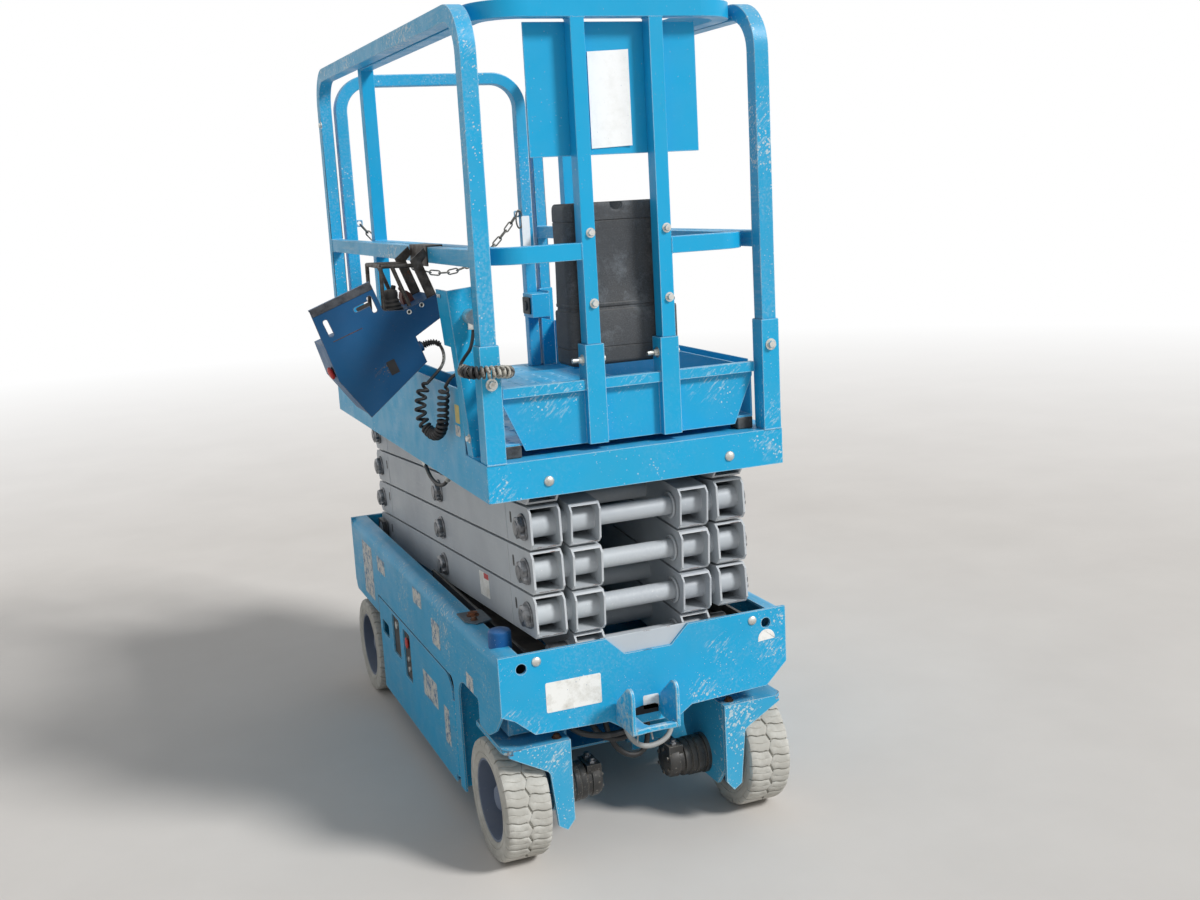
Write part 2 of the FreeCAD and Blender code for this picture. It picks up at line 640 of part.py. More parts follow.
def stack_tracks():
    """Angles inside the chassis on which the front rollers run, and the rear pivot brackets."""
    half = ARM_WIDTH / 2
    inner = INNER_ARM_X + half + BOSS_PROUD + 4
    outer = OUTER_ARM_X + half + 6.0
    low = LEVEL_ZERO_Z - ROLLER_RADIUS - SLIDE_GAP
    y0, y1 = CHASSIS_FRONT + FRONT_PLATE + 2, track_end_y()
    flange = box(inner, outer + TRACK_PLATE, y0, y1, low - TRACK_PLATE, low)
    web = box(outer, outer + TRACK_PLATE, y0, y1, CHASSIS_FLOOR_Z, low + 40)
    track = fused([flange, web])
    bracket_pieces = []
    for x0 in (outer, INNER_ARM_X + half + 2.0):
        plate = plate_yz([(STACK_REAR_Y - 70, CHASSIS_FLOOR_Z), (STACK_REAR_Y + 60, CHASSIS_FLOOR_Z),
                          (STACK_REAR_Y + 34, LEVEL_ZERO_Z + 30), (STACK_REAR_Y - 34, LEVEL_ZERO_Z + 30)],
                         x0, x0 + (BRACKET_PLATE if x0 == outer else 8.0))
        bore = tube_x(SHAFT_RADIUS + PIN_GAP, x0 - 1, x0 + 20, STACK_REAR_Y, LEVEL_ZERO_Z)
        bracket_pieces.append(plate.cut(bore))
    return both_sides(track) + [s for p in bracket_pieces for s in both_sides(p)]


def rear_spindle():
    """The rear stub axles with their brake drums' plain covers."""
    y, z = WHEELBASE / 2, TYRE_RADIUS
    x = rear_beam_x()
    axle = tube_x(AXLE_RADIUS, x, WHEEL_OUTER_X - 42, y, z)
    flange = tube_x(62, x, x + 14, y, z)
    return both_sides(fused([axle, flange]))


def wheel_y(front):
    """Y of a wheel's centre."""
    return -WHEELBASE / 2 if front else WHEELBASE / 2


def tyre(side, front):
    """A solid tyre with broken shoulders."""
    x1 = WHEEL_OUTER_X
    x0 = x1 - TYRE_WIDTH
    shoulder = 10.0
    r, hole = TYRE_RADIUS, RIM_RADIUS
    y, z = wheel_y(front), TYRE_RADIUS
    half_section = [(4, hole), (0, hole + 8), (0, r - shoulder), (3, r - 3), (shoulder, r)]
    section = [V(x0 + across, y, z + up) for across, up in half_section]
    section += [V(x1 - across, y, z + up) for across, up in reversed(half_section)]
    ring = Part.Face(Part.makePolygon(section + section[:1])).revolve(V(0, y, z), V(1, 0, 0), 360)
    return on_side(side, ring)


def rim(side, front):
    """A deep-dished steel rim with its hub, open on both sides."""
    y, z = wheel_y(front), TYRE_RADIUS
    x1 = WHEEL_OUTER_X
    x0 = x1 - TYRE_WIDTH
    barrel = tube_x(RIM_RADIUS, x0 + 4, x1 - 4, y, z)
    disc_x = x0 + 34
    barrel = barrel.cut(tube_x(RIM_RADIUS - RIM_WALL, x0, disc_x, y, z))
    barrel = barrel.cut(tube_x(RIM_RADIUS - RIM_WALL, disc_x + 10, x1, y, z))
    hub = tube_x(HUB_RADIUS, x0 + 2, disc_x + 44, y, z)
    bore = tube_x(AXLE_RADIUS + WHEEL_GAP, x0 - 5, disc_x + 60, y, z)
    return on_side(side, fused([barrel, hub]).cut(bore))


def yoke(side):
    """A steering yoke: a top plate on the kingpin, an inner plate for the motor and end gussets."""
    y, x_in = -WHEELBASE / 2, YOKE_INNER_X
    top0, top1 = YOKE_TOP_Z, YOKE_TOP_Z + YOKE_PLATE
    long = YOKE_HALF_LENGTH
    x_out = WHEEL_OUTER_X - 9
    top = plate_xy([(x_in, y - long - 20), (x_out - 20, y - long - 20), (x_out, y - long),
                    (x_out, y + long - 20), (x_out - 20, y + long), (x_in, y + long)], top0, top1)
    low = YOKE_LOW_Z
    inner = plate_yz([(y - long - 8, top0 + 2), (y + long, top0 + 2), (y + long, low + 94), (y + 60, low),
                      (y - 76, low), (y - long - 8, low + 54)], x_in, x_in + 10)
    gusset = plate_xz([(x_in, top0 + 2), (x_out - 10, top0 + 2), (x_out - 10, top0 - 4),
                       (x_in + 56, top0 - 60, 20.0), (x_in + 42, low + 14), (x_in + 20, low),
                       (x_in, low + 24)], y - long - 20, y - long - 10)
    collar = post_z(KINGPIN_RADIUS + 12, KINGPIN_X, y, top0, top1 + 2)
    spindle = tube_x(AXLE_RADIUS, x_in, WHEEL_OUTER_X - 42, y, TYRE_RADIUS)
    flange = tube_x(58, x_in + 2, x_in + 24, y, TYRE_RADIUS)
    whole = fused([top, inner, gusset, collar, spindle, flange])
    whole = whole.cut(post_z(KINGPIN_RADIUS + PIN_GAP, KINGPIN_X, y, top0 - 40, top1 + 40))
    whole = whole.cut(post_z(TIE_ROD_RADIUS - 3 + PIN_GAP, KINGPIN_X, tie_rod_y(), top0 - 5, top1 + 5))
    return on_side(side, whole)


def tie_rod_y():
    """Y of the tie rod's pins, straight behind the kingpins."""
    return -WHEELBASE / 2 + STEER_ARM_LENGTH


def drive_motor(side):
    """A hydraulic drive motor on the inner face of a yoke."""
    y, z = -WHEELBASE / 2, TYRE_RADIUS
    x1 = YOKE_INNER_X
    body = tube_x(MOTOR_RADIUS, x1 - MOTOR_LENGTH * 0.62, x1, y, z)
    head = box(x1 - MOTOR_LENGTH, x1 - MOTOR_LENGTH * 0.6, y - 46, y + 46, z - 44, z + 40)
    ports = post_z(12, x1 - MOTOR_LENGTH * 0.8, y, z + 38, z + 62)
    return on_side(side, fused([body, head, ports]))


def tie_rod():
    """The rod that links the two yokes, on pins through the rear of their top plates."""
    y, x = tie_rod_y(), KINGPIN_X
    z = YOKE_TOP_Z + YOKE_PLATE + 1.0 + TIE_ROD_RADIUS
    rod = tube_x(TIE_ROD_RADIUS, -x, x, y, z)
    ends = [post_z(16, sx, y, z - TIE_ROD_RADIUS, z + TIE_ROD_RADIUS) for sx in (-x, x)]
    pins = [post_z(TIE_ROD_RADIUS - 3, sx, y, YOKE_TOP_Z - 4, z) for sx in (-x, x)]
    return fused([rod] + ends + pins)


def tray_pin():
    """(x, y) of the +X tray's hinge pin."""
    return CHASSIS_WIDTH / 2 - TRAY_KNUCKLE_RADIUS, TRAY_FRONT + TRAY_KNUCKLE_RADIUS


def tray(side):
    """A swing-out tray: outer panel with its openings, floor, end walls and hinge knuckle.

    The inner rear corner is cut back to the circle that the panel's rear edge swings on.
    """
    x1 = CHASSIS_WIDTH / 2
    x0 = x1 - TRAY_DEPTH + TRAY_GAP
    px, py = tray_pin()
    rear, low, top = TRAY_REAR, TRAY_LOW_Z, TRAY_TOP_Z
    panel = plate_yz([(rear, low), (rear, top, 8.0), (py, top, TRAY_CORNER_RADIUS), (py, low + 24),
                      (py + 20, low + 24), (py + 20, low)], x1 - TRAY_WALL, x1)
    # In front of the rear edge (far, near), below the top edge (far, near)
    openings = [(114, 29, 109, 65), (258, 168, 132, 9), (384, 302, 166, 18)]
    for far, near, deep, shallow in openings:
        y0, y1, z0, z1 = rear - far, rear - near, top - deep, top - shallow
        slot = plate_yz([(y0, z0, 8.0), (y1, z0, 8.0), (y1, z1, 8.0), (y0, z1, 8.0)], x1 - 20, x1 + 1)
        panel = panel.cut(slot)
    swing = rear - py
    inner_rear = py + math.sqrt(swing ** 2 - (px - x0) ** 2)
    front = py + 30
    floor = plate_xy([(x1 - 2, front), (x1 - 2, rear), (x0, inner_rear), (x0, front)], low, low + TRAY_WALL)
    back = box(x0, x0 + TRAY_WALL, front, inner_rear, low, low + 60)
    end = plate_xy([(x1 - 2, rear), (x0, inner_rear), (x0, inner_rear - TRAY_WALL),
                    (x1 - 2, rear - TRAY_WALL)], low, low + 60)
    knuckle = post_z(TRAY_KNUCKLE_RADIUS, px, py, low + 24, top - TRAY_CORNER_RADIUS - 2)
    return on_side(side, fused([panel, floor, back, end, knuckle]).cut(
        post_z(TRAY_PIN_RADIUS + PIN_GAP, px, py, low, top)))


def tray_hinge():
    """The hinge pins of the trays with the lugs that hold them to the chassis."""
    x, y = tray_pin()
    z0, z1 = TRAY_LOW_Z + 6, TRAY_TOP_Z - TRAY_CORNER_RADIUS + 38
    pin = post_z(TRAY_PIN_RADIUS, x, y, z0, z1)
    lugs = [box(x - 12, x + 4, front_bulkhead_y() + 6, y + TRAY_PIN_RADIUS, z, z + 10)
            for z in (z0, z1 - 10)]
    return both_sides(fused([pin] + lugs))


def battery_pack():
    """The batteries on the +X tray, in a row."""
    x1 = CHASSIS_WIDTH / 2 - 14
    pitch = (TRAY_REAR - TRAY_FRONT - 105) / BATTERY_ROWS
    z0, z1 = TRAY_LOW_Z + TRAY_WALL, TRAY_TOP_Z - 44
    solids = []
    for row in range(BATTERY_ROWS):
        y0 = TRAY_FRONT + 60 + row * pitch
        solids.append(box(x1 - TRAY_DEPTH + 67, x1, y0, y0 + pitch - 10, z0, z1))
    return solids


def hydraulic_unit():
    """The oil tank, pump and motor on the -X tray as plain blocks."""
    x0 = -(CHASSIS_WIDTH / 2 - 16)
    x1 = x0 + TRAY_DEPTH - 62
    middle = (x0 + x1) / 2
    y0, y1 = TRAY_FRONT + 85, TRAY_REAR - 125
    tank_end = (y0 + y1) / 2 + 45
    z0 = TRAY_LOW_Z + TRAY_WALL
    tank = box(x0, x1, y0, tank_end, z0, TRAY_TOP_Z - 64)
    pump = bar_y(70, middle, tank_end, y1, z0 + 100)
    seat = box(middle - 50, middle + 50, tank_end + 30, y1 - 30, z0, z0 + 40)
    return fused([tank, pump, seat])


def ladder():
    """The folding entry steps fixed to the rear plate."""
    y = CHASSIS_REAR
    half, low = 180, CHASSIS_TOP - 351.0
    side_bar = box(half - 10, half + 6, y, y + 36, low, CHASSIS_TOP - 16)
    heights = (low + 2, low + 162, low + 290)
    rungs = [box(-half, half, y + 4, y + 76, z, z + 6) for z in heights]
    lips = [box(-half, half, y + 70, y + 76, z - 20, z + 6) for z in heights]
    return fused(both_sides(side_bar) + rungs + lips)


def notch_plate():
    """The grey plate that shows through the notch of the front plate."""
    y = CHASSIS_FRONT + FRONT_PLATE
    half = NOTCH_HALF_WIDTH + 11
    return box(-half, half, y, y + 6, CHASSIS_FLOOR_Z, CHASSIS_TOP)


def platform_deck():
    """The main deck: sheet, folded skirt, roller tracks, rear pivot brackets and toe boards."""
    half = DECK_WIDTH / 2
    front, rear = DECK_FRONT, DECK_REAR
    top, low = DECK_TOP_Z, SKIRT_BOTTOM_Z
    sheet = box(-half, half, front, rear, top - DECK_SHEET, top)
    skirt = box(-half, half, front, rear, low, top - 1)
    skirt = skirt.cut(box(-half + SKIRT_WALL, half - SKIRT_WALL, front + SKIRT_WALL, rear - SKIRT_WALL,
                          low - 1, top))
    lip = box(half - 34, half - 1, front + 1, rear - 1, low, low + 5)
    pieces = [sheet, skirt] + both_sides(lip)
    arm_half = ARM_WIDTH / 2
    track_in = OUTER_ARM_X + arm_half + BOSS_PROUD - 2
    roof = level_z(STAGES) + ROLLER_RADIUS + SLIDE_GAP
    pieces += both_sides(box(track_in, half - 2, front + 3, track_end_y() + 20, roof, roof + TRACK_PLATE))
    for x0 in (INNER_ARM_X + arm_half + BOSS_PROUD + 1.5, INNER_ARM_X - arm_half - 8.0 - BRACKET_PLATE):
        plate = plate_yz([(STACK_REAR_Y - 60, top - 2), (STACK_REAR_Y + 60, top - 2),
                          (STACK_REAR_Y + 32, level_z(STAGES) - 34), (STACK_REAR_Y - 32, level_z(STAGES) - 34)],
                         x0, x0 + BRACKET_PLATE)
        pieces += both_sides(plate)
    reach = INNER_ARM_X + arm_half + BOSS_PROUD + 8.0
    pieces.append(tube_x(SHAFT_RADIUS, -reach, reach, STACK_REAR_Y, level_z(STAGES)))
    board = box(half - TOE_BOARD_SHEET, half, TOE_BOARD_FRONT, TOE_BOARD_REAR, top - 1, TOE_BOARD_Z)
    pieces += both_sides(board)
    return fused(pieces)


def socket(x, y):
    """A square socket for a rail post."""
    outer = RAIL / 2 + SOCKET_WALL
    block = box(x - outer, x + outer, y - outer, y + outer, DECK_TOP_Z, SOCKET_TOP_Z)
    return block.cut(box(x - RAIL / 2 - 0.2, x + RAIL / 2 + 0.2, y - RAIL / 2 - 0.2, y + RAIL / 2 + 0.2,
                         DECK_TOP_Z + 5, SOCKET_TOP_Z + 1))


def rail_sockets():
    """Sockets on the deck for the side and rear rails' posts."""
    places = [(MAIN_RAIL_X - SOCKET_WALL, FRONT_POST_Y), (MAIN_RAIL_X - SOCKET_WALL, REAR_POST_Y)]
    return [s for x, y in places for s in both_sides(socket(x, y))]


def side_rail(side):
    """A main side rail: an inverted U of tube with a mid rail."""
    x = MAIN_RAIL_X - SOCKET_WALL
    y0, y1 = FRONT_POST_Y, REAR_POST_Y
    z0, z1 = DECK_TOP_Z + 5, RAIL_TOP_Z - RAIL / 2
    hoop = bent_bar([V(x, y0, z0), V(x, y0, z1), V(x, y1, z1), V(x, y1, z0)], RAIL_BEND, V(1, 0, 0), RAIL)
    mid = box(x - RAIL / 2 + 2, x + RAIL / 2 - 2, y0, y1, MID_RAIL_TOP_Z - RAIL, MID_RAIL_TOP_Z)
    return on_side(side, fused([hoop, mid]))


def rear_rail():
    """The rear hoop over the entry."""
    y = REAR_POST_Y
    x = REAR_RAIL_X
    z0, z1 = DECK_TOP_Z, RAIL_TOP_Z - RAIL / 2 - 14
    hoop = bent_bar([V(-x, y, z0), V(-x, y, z1), V(x, y, z1), V(x, y, z0)], RAIL_BEND, V(0, 1, 0), RAIL)
    eye_x, eye_z = chain_eye()
    half = CHAIN_WIRE / 2
    eye = box(eye_x - CHAIN_EYE, x - RAIL / 2 + 1, y - half, y + half, eye_z - CHAIN_EYE, eye_z + CHAIN_EYE)
    eye = eye.cut(bar_y(CHAIN_EYE_HOLE, eye_x, y - half - 1, y + half + 1, eye_z))
    return fused([hoop] + both_sides(eye))


def chain_eye():
    """(x, z) of the hole in the chain's eye on the +X rear post."""
    return REAR_RAIL_X - RAIL / 2 - CHAIN_EYE, CHAIN_END_Z


def chain_curve(t):
    """(x, z) of the chain's line at t from 0 to 1; it starts inside the rim of an eye's hole."""
    x, z = chain_eye()
    slope = math.atan2(2 * CHAIN_SAG, x)
    reach = CHAIN_EYE_HOLE - CHAIN_SLACK / 2
    x, z = x - reach * math.cos(slope), z - reach * math.sin(slope)
    return x * (2 * t - 1), z - CHAIN_SAG * (1 - (2 * t - 1) ** 2)


def chain_stations():
    """Middle and direction of each link along the chain's line, and the links' pitch."""
    fine = 400
    line = [V(x, 0, z) for x, z in (chain_curve(i / fine) for i in range(fine + 1))]
    reach = [0.0]
    for here, after in zip(line, line[1:]):
        reach.append(reach[-1] + after.sub(here).Length)

    def at(distance):
        i = max(1, min(fine, next((k for k, r in enumerate(reach) if r >= distance), fine)))
        share = (distance - reach[i - 1]) / (reach[i] - reach[i - 1])
        return line[i - 1].add(line[i].sub(line[i - 1]).multiply(share))

    pitch = reach[-1] / CHAIN_LINKS
    ends = [at(pitch * i) for i in range(CHAIN_LINKS + 1)]
    return [(a.add(b).multiply(0.5), b.sub(a).normalize()) for a, b in zip(ends, ends[1:])], pitch


def chain_link(pitch, flat):
    """One link about the origin, along X: flat in the XY plane or upright in the XZ plane."""
    length = (pitch + CHAIN_SLACK) / 2 + CHAIN_WIRE
    width, wire = CHAIN_LINK_WIDTH / 2, CHAIN_WIRE
    cut = width - 4.0

    def ring(reach, side, corner):
        return [(-reach, -side + corner), (-reach + corner, -side), (reach - corner, -side),
                (reach, -side + corner), (reach, side - corner), (reach - corner, side),
                (-reach + corner, side), (-reach, side - corner)]

    plate = plate_xy if flat else plate_xz
    outer = plate(ring(length, width, cut), -wire / 2, wire / 2)
    return outer.cut(plate(ring(length - wire, width - wire, cut - 4.0), -wire, wire))


def entry_chain():
    """The chain across the entry, link by link; the end links pass through the posts' eyes."""
    stations, pitch = chain_stations()
    links = []
    for i, (middle, along) in enumerate(stations):
        link = chain_link(pitch, flat=i % 2 == 0)
        link.rotate(V(0, 0, 0), V(0, 1, 0), -math.degrees(math.atan2(along.z, along.x)))
        link.translate(middle.add(V(0, REAR_POST_Y, 0)))
        links.append(link)
    return links


def extension_deck():
    """The roll-out deck: sheet, side boards, front toe panel with its lip and post sockets."""
    half, front, rear = EXTENSION_HALF_WIDTH, EXTENSION_FRONT, EXTENSION_REAR
    z0, z1 = EXTENSION_DECK_Z, EXTENSION_DECK_Z + EXTENSION_SHEET
    post_front = EXTENSION_REAR_POST_Y - RAIL / 2
    sheet = box(-half, half, front, rear, z0, z1)
    for notch in both_sides(box(EXTENSION_RAIL_X - RAIL / 2 - 0.5, half + 1, post_front - 0.5, rear + 1,
                                z0 - 1, z1 + 1)):
        sheet = sheet.cut(notch)
    side_board = box(half - 4, half, front, post_front - 1, z0, TOE_BOARD_Z)
    corner_z = FRONT_TOE_TOP_Z - 34
    panel = plate_xz([(-half, FRONT_TOE_TOP_Z - 4), (-half, corner_z), (-half + 50, FRONT_TOE_LOW_Z),
                      (half - 50, FRONT_TOE_LOW_Z), (half, corner_z), (half, FRONT_TOE_TOP_Z - 4)],
                     front - 4, front)
    lip = box(-half, half, front - 18, front, FRONT_TOE_TOP_Z - 24, FRONT_TOE_TOP_Z)
    pieces = [sheet, panel, lip] + both_sides(side_board)
    sock = RAIL / 2 + SOCKET_WALL
    for x in (-EXTENSION_POST_X, EXTENSION_POST_X):
        pieces.append(box(x - sock, x + sock, front - 24, front + 2 * sock - 24, FRONT_TOE_LOW_Z,
                          SOCKET_TOP_Z - 21))
    return fused(pieces)


def slide_blocks():
    """Black pads under the roll-out deck, which run on the main deck."""
    half = EXTENSION_HALF_WIDTH
    solids = []
    for y in (EXTENSION_FRONT - 2, EXTENSION_REAR - SLIDE_BLOCK - 10):
        pad = box(half - SLIDE_BLOCK, half, y, y + SLIDE_BLOCK, DECK_TOP_Z + SLIDE_GAP, EXTENSION_DECK_Z)
        solids += both_sides(pad)
    return solids


def extension_rails():
    """The nested rails of the roll-out deck."""
    x, front, back = EXTENSION_RAIL_X, EXTENSION_FRONT - 4, EXTENSION_REAR_POST_Y
    z_top, z_mid = RAIL_TOP_Z - RAIL / 2, MID_RAIL_TOP_Z - RAIL / 2
    top = bent_bar([V(-x, back, z_top), V(-x, front, z_top), V(x, front, z_top), V(x, back, z_top)],
                   RAIL_BEND, V(0, 0, 1), RAIL)
    pieces = [top]
    for s in (-1, 1):
        pieces.append(bent_bar([V(s * x, back, z_mid), V(s * x, front, z_mid),
                                V(s * EXTENSION_POST_X, front, z_mid)], 60, V(0, 0, 1), RAIL))
        pieces.append(box(s * x - RAIL / 2, s * x + RAIL / 2, back - RAIL / 2, back + RAIL / 2,
                          EXTENSION_DECK_Z, z_top + RAIL / 2 - 2))
        px = s * EXTENSION_POST_X
        pieces.append(box(px - RAIL / 2 + 2, px + RAIL / 2 - 2, front - RAIL / 2, front + RAIL / 2,
                          SOCKET_TOP_Z - 21, z_top))
    return fused(pieces)


def upper_panel():
    """The plate behind the front posts, under the top rail."""
    y = EXTENSION_FRONT - 4 + RAIL / 2
    half = EXTENSION_POST_X + 114
    return box(-half, half, y, y + 3, RAIL_TOP_Z - 332, RAIL_TOP_Z - 44)


def document_box():
    """The black moulded box behind the front posts, with a round notch in its top edge."""
    post_back = EXTENSION_FRONT - 4 + RAIL / 2
    y0 = EXTENSION_FRONT + RAIL + 2 * SOCKET_WALL - 24 + 1
    half = EXTENSION_POST_X + 62
    low, high = SOCKET_TOP_Z - 85, MID_RAIL_TOP_Z + 86
    body = box(-half, half, y0, y0 + 112, low, high)
    hollow = box(-half + 6, half - 6, y0 + 6, y0 + 106, low + 10, high + 5)
    body = body.cut(hollow).cut(bar_y(20, 0, y0 - 1, y0 + 20, high))
    pad = box(EXTENSION_POST_X - 14, EXTENSION_POST_X + 14, post_back, y0 + 1, SOCKET_TOP_Z + 19, high - 35)
    return fused([body] + both_sides(pad))


def outlet_box():
    """The outlet box on the right rear of the platform."""
    x = MAIN_RAIL_X - 2 * SOCKET_WALL - RAIL / 2
    y0, y1, low = REAR_POST_Y - 116, REAR_POST_Y - 26, SOCKET_TOP_Z - 101
    plate = box(x - 4, x, y0, REAR_POST_Y + 15, low, SOCKET_TOP_Z - 4)
    return fused([box(x - 64, x - 3, y0, y1, low + 10, low + 90), plate])


def controller_bracket():
    """The leaning folded channel behind the left front post: its front face and its outer flange."""
    front, deep, shallow = CHANNEL_FRONT, CHANNEL_FRONT + 90, CHANNEL_FRONT + 38
    low, step, high = DECK_TOP_Z, SOCKET_TOP_Z - 11, MID_RAIL_TOP_Z - 89

    def edge_x(z):
        return -MAIN_RAIL_X - 18.0 - 34.0 * (z - low) / (high - low)

    face = plate_xz([(edge_x(high), high), (-MAIN_RAIL_X + 14, high + 6), (-MAIN_RAIL_X + 20, low),
                     (edge_x(low), low)], front, front + 4)
    upper = plate_xz([(edge_x(high), high), (edge_x(high) + 4, high), (edge_x(step) + 4, step),
                      (edge_x(step), step)], front, deep)
    lower = plate_xz([(edge_x(step), step), (edge_x(step) + 4, step), (edge_x(low) + 4, low),
                      (edge_x(low), low)], front, shallow)
    return fused([face, upper, lower])


def cord_connector():
    """The round connector on the channel's face, with the nut that the cord goes up into."""
    end = cord_points()[-1]
    body = bar_y(17, end.x, end.y - 12, CHANNEL_FRONT, end.z + 28)
    return fused([body, post_z(12, end.x, end.y, end.z + 0.8, end.z + 28)])


def place_controls(shape):
    """Puts a piece drawn with X to the right and Z up from the control box's corner at its tilt."""
    shape.rotate(V(0, 0, 0), V(0, 1, 0), -CONTROL_TILT)
    shape.translate(V(CONTROL_CORNER_X, 0, CONTROL_CORNER_Z))
    return shape


def control_point(right, down):
    """(x, z) of a point to the right of and below the control box's upper left corner."""
    turn = math.radians(CONTROL_TILT)
    return (CONTROL_CORNER_X + right * math.cos(turn) + down * math.sin(turn),
            CONTROL_CORNER_Z + right * math.sin(turn) - down * math.cos(turn))


def control_box():
    """The platform control box: a folded front plate with slots, the housing behind and its gland."""
    y0, y1 = CONTROL_FRONT, CONTROL_FRONT + CONTROL_DEPTH
    plate = plate_xz([(0, 0), (160, 0), (160, -77, 8.0), (207, -97), (298, -97), (290, -152), (205, -168),
                      (204, -236), (22, -297), (-10, -182)], y0, y0 + CONTROL_SHEET)
    slots = [((142, -36), (142, -66)), ((23, -42), (23, -72)), ((102, -46), (132, -46))]
    for (x0, z0), (x1, z1) in slots:
        lower, upper = min(z0, z1) - 6, max(z0, z1) + 6
        plate = plate.cut(plate_xz([(x0 - 6, lower, 5.0), (x1 + 6, lower, 5.0), (x1 + 6, upper, 5.0),
                                    (x0 - 6, upper, 5.0)], y0 - 1, y0 + CONTROL_SHEET + 1))
    hem = box(0, 160, y0, y0 + 14, -CONTROL_SHEET, 0)
    housing = plate_xz([(0, -96), (294, -99), (286, -150), (202, -165), (201, -233), (23, -291), (-7, -182)],
                       y0 + 1, y1)
    gland = tube_x(13, 200, 213, CONTROL_FRONT + 18, -198)
    return place_controls(fused([plate, hem, housing, gland]))


def control_guard():
    """The steel straps, the hook over the mid rail and the bars round the joystick."""
    rail_x, half = MAIN_RAIL_X - SOCKET_WALL, RAIL / 2 - 2
    y0, y1 = CONTROL_FRONT + 4, CONTROL_FRONT + CONTROL_DEPTH - 4
    strap_outline = [(272, -99), (296, -99), (296, -14), (316, -4), (316, 16), (272, 2)]
    straps = [place_controls(plate_xz(strap_outline, y, y + 5)) for y in (y0, y1 - 5)]
    top = MID_RAIL_TOP_Z
    hook = [box(-rail_x - half - 4, -rail_x + half + 4, y0, y1, top, top + 4),
            box(-rail_x + half, -rail_x + half + 4, y0, y1, top - 26, top + 1),
            box(-rail_x - half - 4, -rail_x - half, y0, y1, top - 46, top + 1)]
    bars = []
    foot_x, foot_z = control_point(155, 98)
    knee_x, knee_z = CONTROL_CORNER_X + 181, CONTROL_CORNER_Z + 90
    for y in (y0 + 5, y1 - 5):
        knee, strap = V(knee_x, y, knee_z), V(knee_x + 98, y, knee_z - 3)
        bars += [rod_between(5, V(foot_x, y, foot_z), knee), rod_between(5, knee, strap),
                 rod_between(5, V(knee_x + 27, y, knee_z - 1), V(knee_x + 63, y, knee_z - 98))]
    bars.append(bar_y(5, knee_x, y0 + 5, y1 - 5, knee_z))
    return fused(straps + hook + bars).cut(control_box())


def joystick():
    """The joystick in its boot and the switch beside it, on top of the control box."""
    y = CONTROL_FRONT + 35
    stick = Part.makeCone(25, 15, 44, V(188, y, -96), V(0.28, 0, 1))
    stick = fused([stick, post_z(17, 202, y, -56, -38)])
    switch = box(226, 256, y + 40, y + 75, -101, -68)
    return place_controls(Part.makeCompound([stick, switch]).cut(plate_xz(
        [(0, -96), (294, -99), (286, -150), (-7, -182)], CONTROL_FRONT, CONTROL_FRONT + CONTROL_DEPTH)))


def stop_button():
    """The red mushroom stop button on the side of the control box."""
    y = CONTROL_FRONT + 45
    stem = tube_x(9, -16, -6.5, y, -164)
    head = tube_x(19, -30, -15, y, -164)
    housing = plate_xz([(0, -96), (200, -96), (200, -182), (-7, -182)], y - 40, y + 40)
    return place_controls(fused([stem, head]).cut(housing))


def cord_points():
    """The cord's route as vectors."""
    foot = V(-MAIN_RAIL_X + SOCKET_WALL, FRONT_POST_Y, DECK_TOP_Z)
    return [foot.add(V(x, y, z)) for x, y, z, _ in CORD_POINTS]


def control_cord():
    """The curly cord's outer envelope, thick where it is coiled and thin where it runs straight."""
    points = cord_points()
    kinds = [kind for _, _, _, kind in CORD_POINTS]
    solids = []
    first = 0
    for i in range(1, len(points) + 1):
        if i == len(points) or kinds[i] != kinds[first]:
            radius = COIL_RADIUS if kinds[first] == "coil" else WIRE_RADIUS
            solids.append(swept_cord(points, first, i - 1, radius))
            first = i
    return solids


def cord_bend(before, corner, after):
    """Start, middle, end and radius of the arc that rounds one point of the cord's route."""
    into, out = corner.sub(before), after.sub(corner)
    reach = 0.45 * min(into.Length, out.Length)
    into.normalize()
    out.normalize()
    half_turn = into.getAngle(out) / 2
    radius = reach / math.tan(half_turn)
    inward = out.sub(into).normalize()
    centre = corner.add(V(inward).multiply(radius / math.cos(half_turn)))
    return (corner.sub(V(into).multiply(reach)), centre.sub(V(inward).multiply(radius)),
            corner.add(V(out).multiply(reach)), radius)


def swept_cord(points, first, last, radius):
    """A round tube round points first to last; it ends half way to the next point, or at the route's end."""
    end = len(points) - 1
    start = points[0] if first == 0 else points[first - 1].add(points[first]).multiply(0.5)
    finish = points[end] if last == end else points[last].add(points[last + 1]).multiply(0.5)
    edges = []
    here = start
    for i in range(max(first, 1), min(last, end - 1) + 1):
        a, b, c, bend = cord_bend(points[i - 1], points[i], points[i + 1])
        edges.append(Part.LineSegment(here, a).toShape())
        edges.append(Part.Arc(a, b, c).toShape())
        print("cord bend radius", round(bend), "mm")
        here = c
    edges.append(Part.LineSegment(here, finish).toShape())
    path = Part.Wire(edges)
    along = points[max(first, 1)].sub(points[max(first, 1) - 1])
    section = Part.Wire(Part.makeCircle(radius, start, along))
    return path.makePipeShell([section], True, False)


